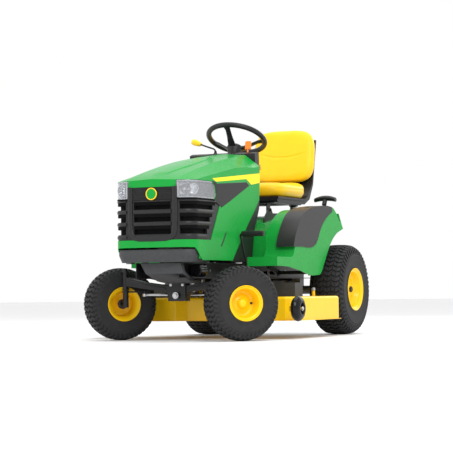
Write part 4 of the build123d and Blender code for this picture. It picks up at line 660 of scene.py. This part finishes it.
# ---------------------------------------------------------------- seat
SEAT_TILT = radians(12)
BACK_FOOT_Y = 768
BACK_FOOT_Z = 884
PAD_POWER = 4.2
CUSHION_FOOT = 779
CUSHION_HEIGHT = 81
VOXEL = 0.006
PRESSURE = 4.0
SIMULATED_FRAMES = 20
PUFF = 3.0
COILS = 5.5
COIL_STEPS = 132
COIL_R = 18.5
SPRING_X = 150
SPRING_Y = 590
BACK_LEVELS = ((150, 40, 280, -46), (186, 8, 312, -42), (196, -2, 318, -24), (195, -2, 318, 0),
               (186, 6, 310, 14), (160, 34, 284, 19), (110, 80, 240, 20))
CUSHION_LEVELS = ((160, 330, 690, 779), (184, 304, 722, 784), (196, 294, 738, 806), (196, 292, 744, 830),
                  (186, 302, 744, 848), (160, 330, 728, 857), (110, 380, 690, 860))


def back_point(x, up, thick):
    """Point of the seat back: across, up its slope, and forwards out of its face."""
    return at(x, BACK_FOOT_Y + up * sin(SEAT_TILT) - thick * cos(SEAT_TILT),
              BACK_FOOT_Z + up * cos(SEAT_TILT) + thick * sin(SEAT_TILT))


def cushion_point(x, y, z):
    """Point of the cushion, whose rear edge rises towards the back."""
    rise = 26 * max(0.0, (y - 600) / 140) ** 1.6 * (z - CUSHION_FOOT) / CUSHION_HEIGHT
    return at(x, y, z + rise)


def pad_ring(half_x, low, high, steps=48):
    """Rounded rectangle of (across, along) pairs."""
    middle = (low + high) / 2
    half = (high - low) / 2
    ring = []
    for step in range(steps):
        turn = tau * (step + 0.5) / steps
        x = abs(cos(turn)) ** (2 / PAD_POWER) * (1 if cos(turn) > 0 else -1)
        y = abs(sin(turn)) ** (2 / PAD_POWER) * (1 if sin(turn) > 0 else -1)
        ring.append((half_x * x, middle + half * y))
    return ring


def bake_modifiers(piece):
    """Replace the piece's mesh with its evaluated one and drop the modifiers."""
    graph = bpy.context.evaluated_depsgraph_get()
    result = bpy.data.meshes.new_from_object(piece.evaluated_get(graph))
    piece.modifiers.clear()
    piece.data = result


def stuffed(name, node, rings, crease):
    """Pad from a closed loft: remeshed, inflated as cloth, smoothed and given its pressed line."""
    form = Shape()
    form.loft(rings)
    piece = form.make(name, VINYL, "seat", stands_for=(node,))
    remesh = piece.modifiers.new("remesh", "REMESH")
    remesh.mode = "VOXEL"
    remesh.voxel_size = VOXEL
    bake_modifiers(piece)
    start = [vertex.co.copy() for vertex in piece.data.vertices]
    cloth = piece.modifiers.new("stuffing", "CLOTH")
    cloth.settings.use_pressure = True
    cloth.settings.uniform_pressure_force = PRESSURE
    cloth.settings.effector_weights.gravity = 0.0
    scene = bpy.context.scene
    scene.frame_start = 1
    scene.frame_end = SIMULATED_FRAMES
    for step in range(1, SIMULATED_FRAMES + 1):
        scene.frame_set(step)
    bake_modifiers(piece)
    scene.frame_set(1)
    for vertex, home in zip(piece.data.vertices, start):
        moved = vertex.co - home
        if moved.length > PUFF * MM:
            vertex.co = home + moved.normalized() * PUFF * MM
    relax = piece.modifiers.new("relax", "SMOOTH")
    relax.iterations = 10
    relax.factor = 0.6
    bake_modifiers(piece)
    for vertex in piece.data.vertices:
        vertex.co += crease(vertex.co.x / MM - CENTRE_X, vertex.co.y / MM, vertex.co.z / MM) * MM
    finer = piece.modifiers.new("finer", "SUBSURF")
    finer.levels = 1
    finer.render_levels = 1
    for face in piece.data.polygons:
        face.use_smooth = True


def back_crease(x, y, z):
    """Pressed line that curves up at its ends, across the front of the back."""
    line = 1030 + 26 * (x / 150) ** 2
    off = (z - line) / 6
    reach = max(0.0, 1 - (x / 165) ** 4) if y < 830 else 0.0
    return Vector((0, 4.5, 0)) * max(0.0, 1 - off * off) * reach


def cushion_crease(x, _y, z):
    """Sewn channel along the cushion's two sides, below its crown."""
    off = (z - 826) / 5
    return Vector((-x, 0, 0)).normalized() * 2.5 * max(0.0, 1 - off * off) if abs(x) > 150 else Vector()


back_rings = []
for half_x, low, high, thick in BACK_LEVELS:
    back_rings.append([back_point(x * (1 - 0.06 * max(0.0, (up - 160) / 150)), up, thick)
                       for x, up in pad_ring(half_x, low, high)])
stuffed("seat_back_padded", "seat_back", back_rings, back_crease)

cushion_rings = []
for half_x, low, high, z in CUSHION_LEVELS:
    cushion_rings.append([cushion_point(x, y, z) for x, y in pad_ring(half_x, low, high)])
stuffed("seat_cushion_padded", "seat_cushion", cushion_rings, cushion_crease)

springs = Shape()
for side in (-1, 1):
    line = []
    for step in range(COIL_STEPS + 1):
        turn = tau * COILS * step / COIL_STEPS
        line.append(at(side * SPRING_X + COIL_R * cos(turn), SPRING_Y + COIL_R * sin(turn),
                       690 + 40 * step / COIL_STEPS))
    springs.tube(line, 3.2, sides=10)
springs.make("seat_coil_springs", STEEL, "chassis", smooth=60, stands_for=("seat_springs",))
spring_ends = Shape()
for side in (-1, 1):
    spring_ends.turned([(0, 682.8), (22, 682.8), (22, 688), (14, 690), (12, 728), (14, 732), (26, 732),
                        (26, 738), (0, 739)], at(side * SPRING_X, SPRING_Y, 0), (0, 0, 1), steps=40)
spring_ends.make("seat_spring_cups", PLASTIC, "chassis")


# ---------------------------------------------------------------- axle, guard plate and small fittings
def front_plate(shape, outline, y_low, y_high):
    """Plate square to the machine's length, from (X, Z) points."""
    shape.prism([at(x, y_low, z) for x, z in outline], [at(x, y_high, z) for x, z in outline])


beam = Shape()
lower = [(-300, 284), (-200, 270), (-64, 250), (-48, 210), (48, 210), (64, 250), (200, 270), (300, 284)]
upper = [(300, 330), (190, 304), (60, 286), (-60, 286), (-190, 304), (-300, 330)]
front_plate(beam, lower + upper, FRONT_Y - 20, FRONT_Y + 20)
rib = [(-290, 298), (-196, 280), (-66, 262), (-66, 274), (-190, 293), (-290, 318)]
front_plate(beam, rib, FRONT_Y - 24, FRONT_Y - 18)
front_plate(beam, [(-x, z) for x, z in reversed(rib)], FRONT_Y - 24, FRONT_Y - 18)
for side in (-1, 1):
    beam.turned([(9.8, 262), (20, 262), (20, 270), (16, 274), (16, 352), (20, 356), (20, 364), (9.8, 364)],
                at(side * KINGPIN_X, FRONT_Y, 0), (0, 0, 1), steps=40, closed=True)
beam.make("cast_axle_beam", BLACK, "axle_beam", bevel=2.0, stands_for=("front_axle",))

GUARD = ((-845, 398, -95, 134), (-845, 344, -64, 146), (-765, 306, -40, 150), (-664, 294, -35, 150))
guard = Shape()
guard.loft([[at(low, y, z), at(high, y, z), at(high, y + 3, z + 1.5), at(low, y + 3, z + 1.5)]
            for y, z, low, high in GUARD])
guard.loft([[at(high - 3, y, z), at(high, y, z), at(high, y + 26, z + 8), at(high - 3, y + 26, z + 8)]
            for y, z, low, high in GUARD])
guard.make("front_guard_plate", GREY, "chassis", bevel=1.0, stands_for=("skid_plate",))

RAIL_BOLTS_Y = (-560, -480, -120, 60, 380, 520)
MANDREL_X = 267
MANDREL_Y = -47
MANDREL_BOLT_R = 47
fixings = Shape()
fixings.bolt(at(0, -639, 233), (0, -1, 0), 15)
for x, z in ((-34, 288), (34, 288), (-96, 332), (96, 332)):
    fixings.bolt(at(x, -625, z), (0, -1, 0), 6.5)
for side in (-1, 1):
    for y in RAIL_BOLTS_Y:
        fixings.bolt(at(side * 150, y, 400), (0, 0, 1), 6.5)
        fixings.bolt(at(side * 122, y, 360), (side, 0, 0), 6.5)
fixings.make("chassis_bolts", STEEL, "chassis")

deck_fixings = Shape()
for side in (-1, 1):
    for turn in range(4):
        angle = tau * (turn + 0.5) / 4
        deck_fixings.bolt(at(side * MANDREL_X + MANDREL_BOLT_R * cos(angle),
                             MANDREL_Y + MANDREL_BOLT_R * sin(angle), 227.5), (0, 0, 1), 5.5)
deck_fixings.bolt(at(614, -416, 159), (1, 0, 0), 10)
deck_fixings.bolt(at(549, -345, 172), (1, 0, 0), 6)
deck_fixings.bolt(at(549, -290, 172), (1, 0, 0), 6)
deck_fixings.make("deck_bolts", STEEL, "deck")

port = Shape()
port.turned([(0, 248), (7, 248), (11, 251), (11, 262), (8, 266), (0, 267)], at(400, 262, 0), (0, 0, 1),
            steps=32)
port.make("deck_wash_port_cap", SILVER, "deck")


# ---------------------------------------------------------------- floor, light and camera
FLOOR = 30
floor_mesh = bpy.data.meshes.new("studio_floor")
floor_mesh.from_pydata([(-FLOOR, -FLOOR, 0), (FLOOR, -FLOOR, 0), (FLOOR, FLOOR, 0), (-FLOOR, FLOOR, 0)], [],
                       [(0, 1, 2, 3)])
floor = bpy.data.objects.new("studio_floor", floor_mesh)
floor_mesh.materials.append(material("pale_floor", (0.86, 0.86, 0.87), rough=0.6, vary=0.005, grain=2.0))
bpy.context.scene.collection.objects.link(floor)


def area_light(name, place, aim, size, power):
    """Large soft lamp that points at a spot."""
    lamp = bpy.data.lights.new(name, "AREA")
    lamp.shape = "RECTANGLE"
    lamp.size = size[0]
    lamp.size_y = size[1]
    lamp.energy = power
    holder = bpy.data.objects.new(name, lamp)
    holder.location = place
    holder.rotation_euler = (Vector(aim) - Vector(place)).to_track_quat("-Z", "Y").to_euler()
    bpy.context.scene.collection.objects.link(holder)


area_light("key_light", (3.5, -4.0, 4.2), (0, -0.2, 0.5), (3.0, 3.0), 190)
area_light("fill_light", (-4.5, -3.5, 2.6), (0, -0.2, 0.5), (3.0, 3.0), 50)
area_light("top_light", (0, 0.5, 5.0), (0, 0, 0.4), (5.0, 4.0), 110)
area_light("rear_light", (1.5, 5.0, 3.0), (0, 0, 0.5), (4.0, 2.5), 70)

bpy.context.scene.view_settings.view_transform = "Standard"
world = bpy.data.worlds.new("studio")
world.use_nodes = True
world.node_tree.nodes["Background"].inputs["Color"].default_value = (1, 1, 1, 1)
world.node_tree.nodes["Background"].inputs["Strength"].default_value = 1.0
bpy.context.scene.world = world

IMAGE_SIDE = 453.0
FOCAL_PIXELS = 1828.0
HEADING = 0.4336
ROLL = -0.0117
HORIZON_ROW = 289.57
PITCH = atan((HORIZON_ROW - IMAGE_SIDE / 2) / FOCAL_PIXELS)
camera_data = bpy.data.cameras.new("camera")
camera_data.sensor_width = 36.0
camera_data.lens = FOCAL_PIXELS / IMAGE_SIDE * camera_data.sensor_width
camera = bpy.data.objects.new("camera", camera_data)
level = Vector((-sin(HEADING), cos(HEADING), 0))
right = Vector((cos(HEADING), sin(HEADING), 0))
forward = level * cos(PITCH) + Vector((0, 0, 1)) * sin(PITCH)
above = Vector((0, 0, 1)) * cos(PITCH) - level * sin(PITCH)
image_right = right * cos(ROLL) + above * sin(ROLL)
image_up = above * cos(ROLL) - right * sin(ROLL)
turn = Matrix((image_right, image_up, -forward)).transposed()
camera.matrix_world = Matrix.Translation(at(4201.7, -9078.7, 260.6)) @ turn.to_4x4()
bpy.context.scene.collection.objects.link(camera)
bpy.context.scene.camera = camera
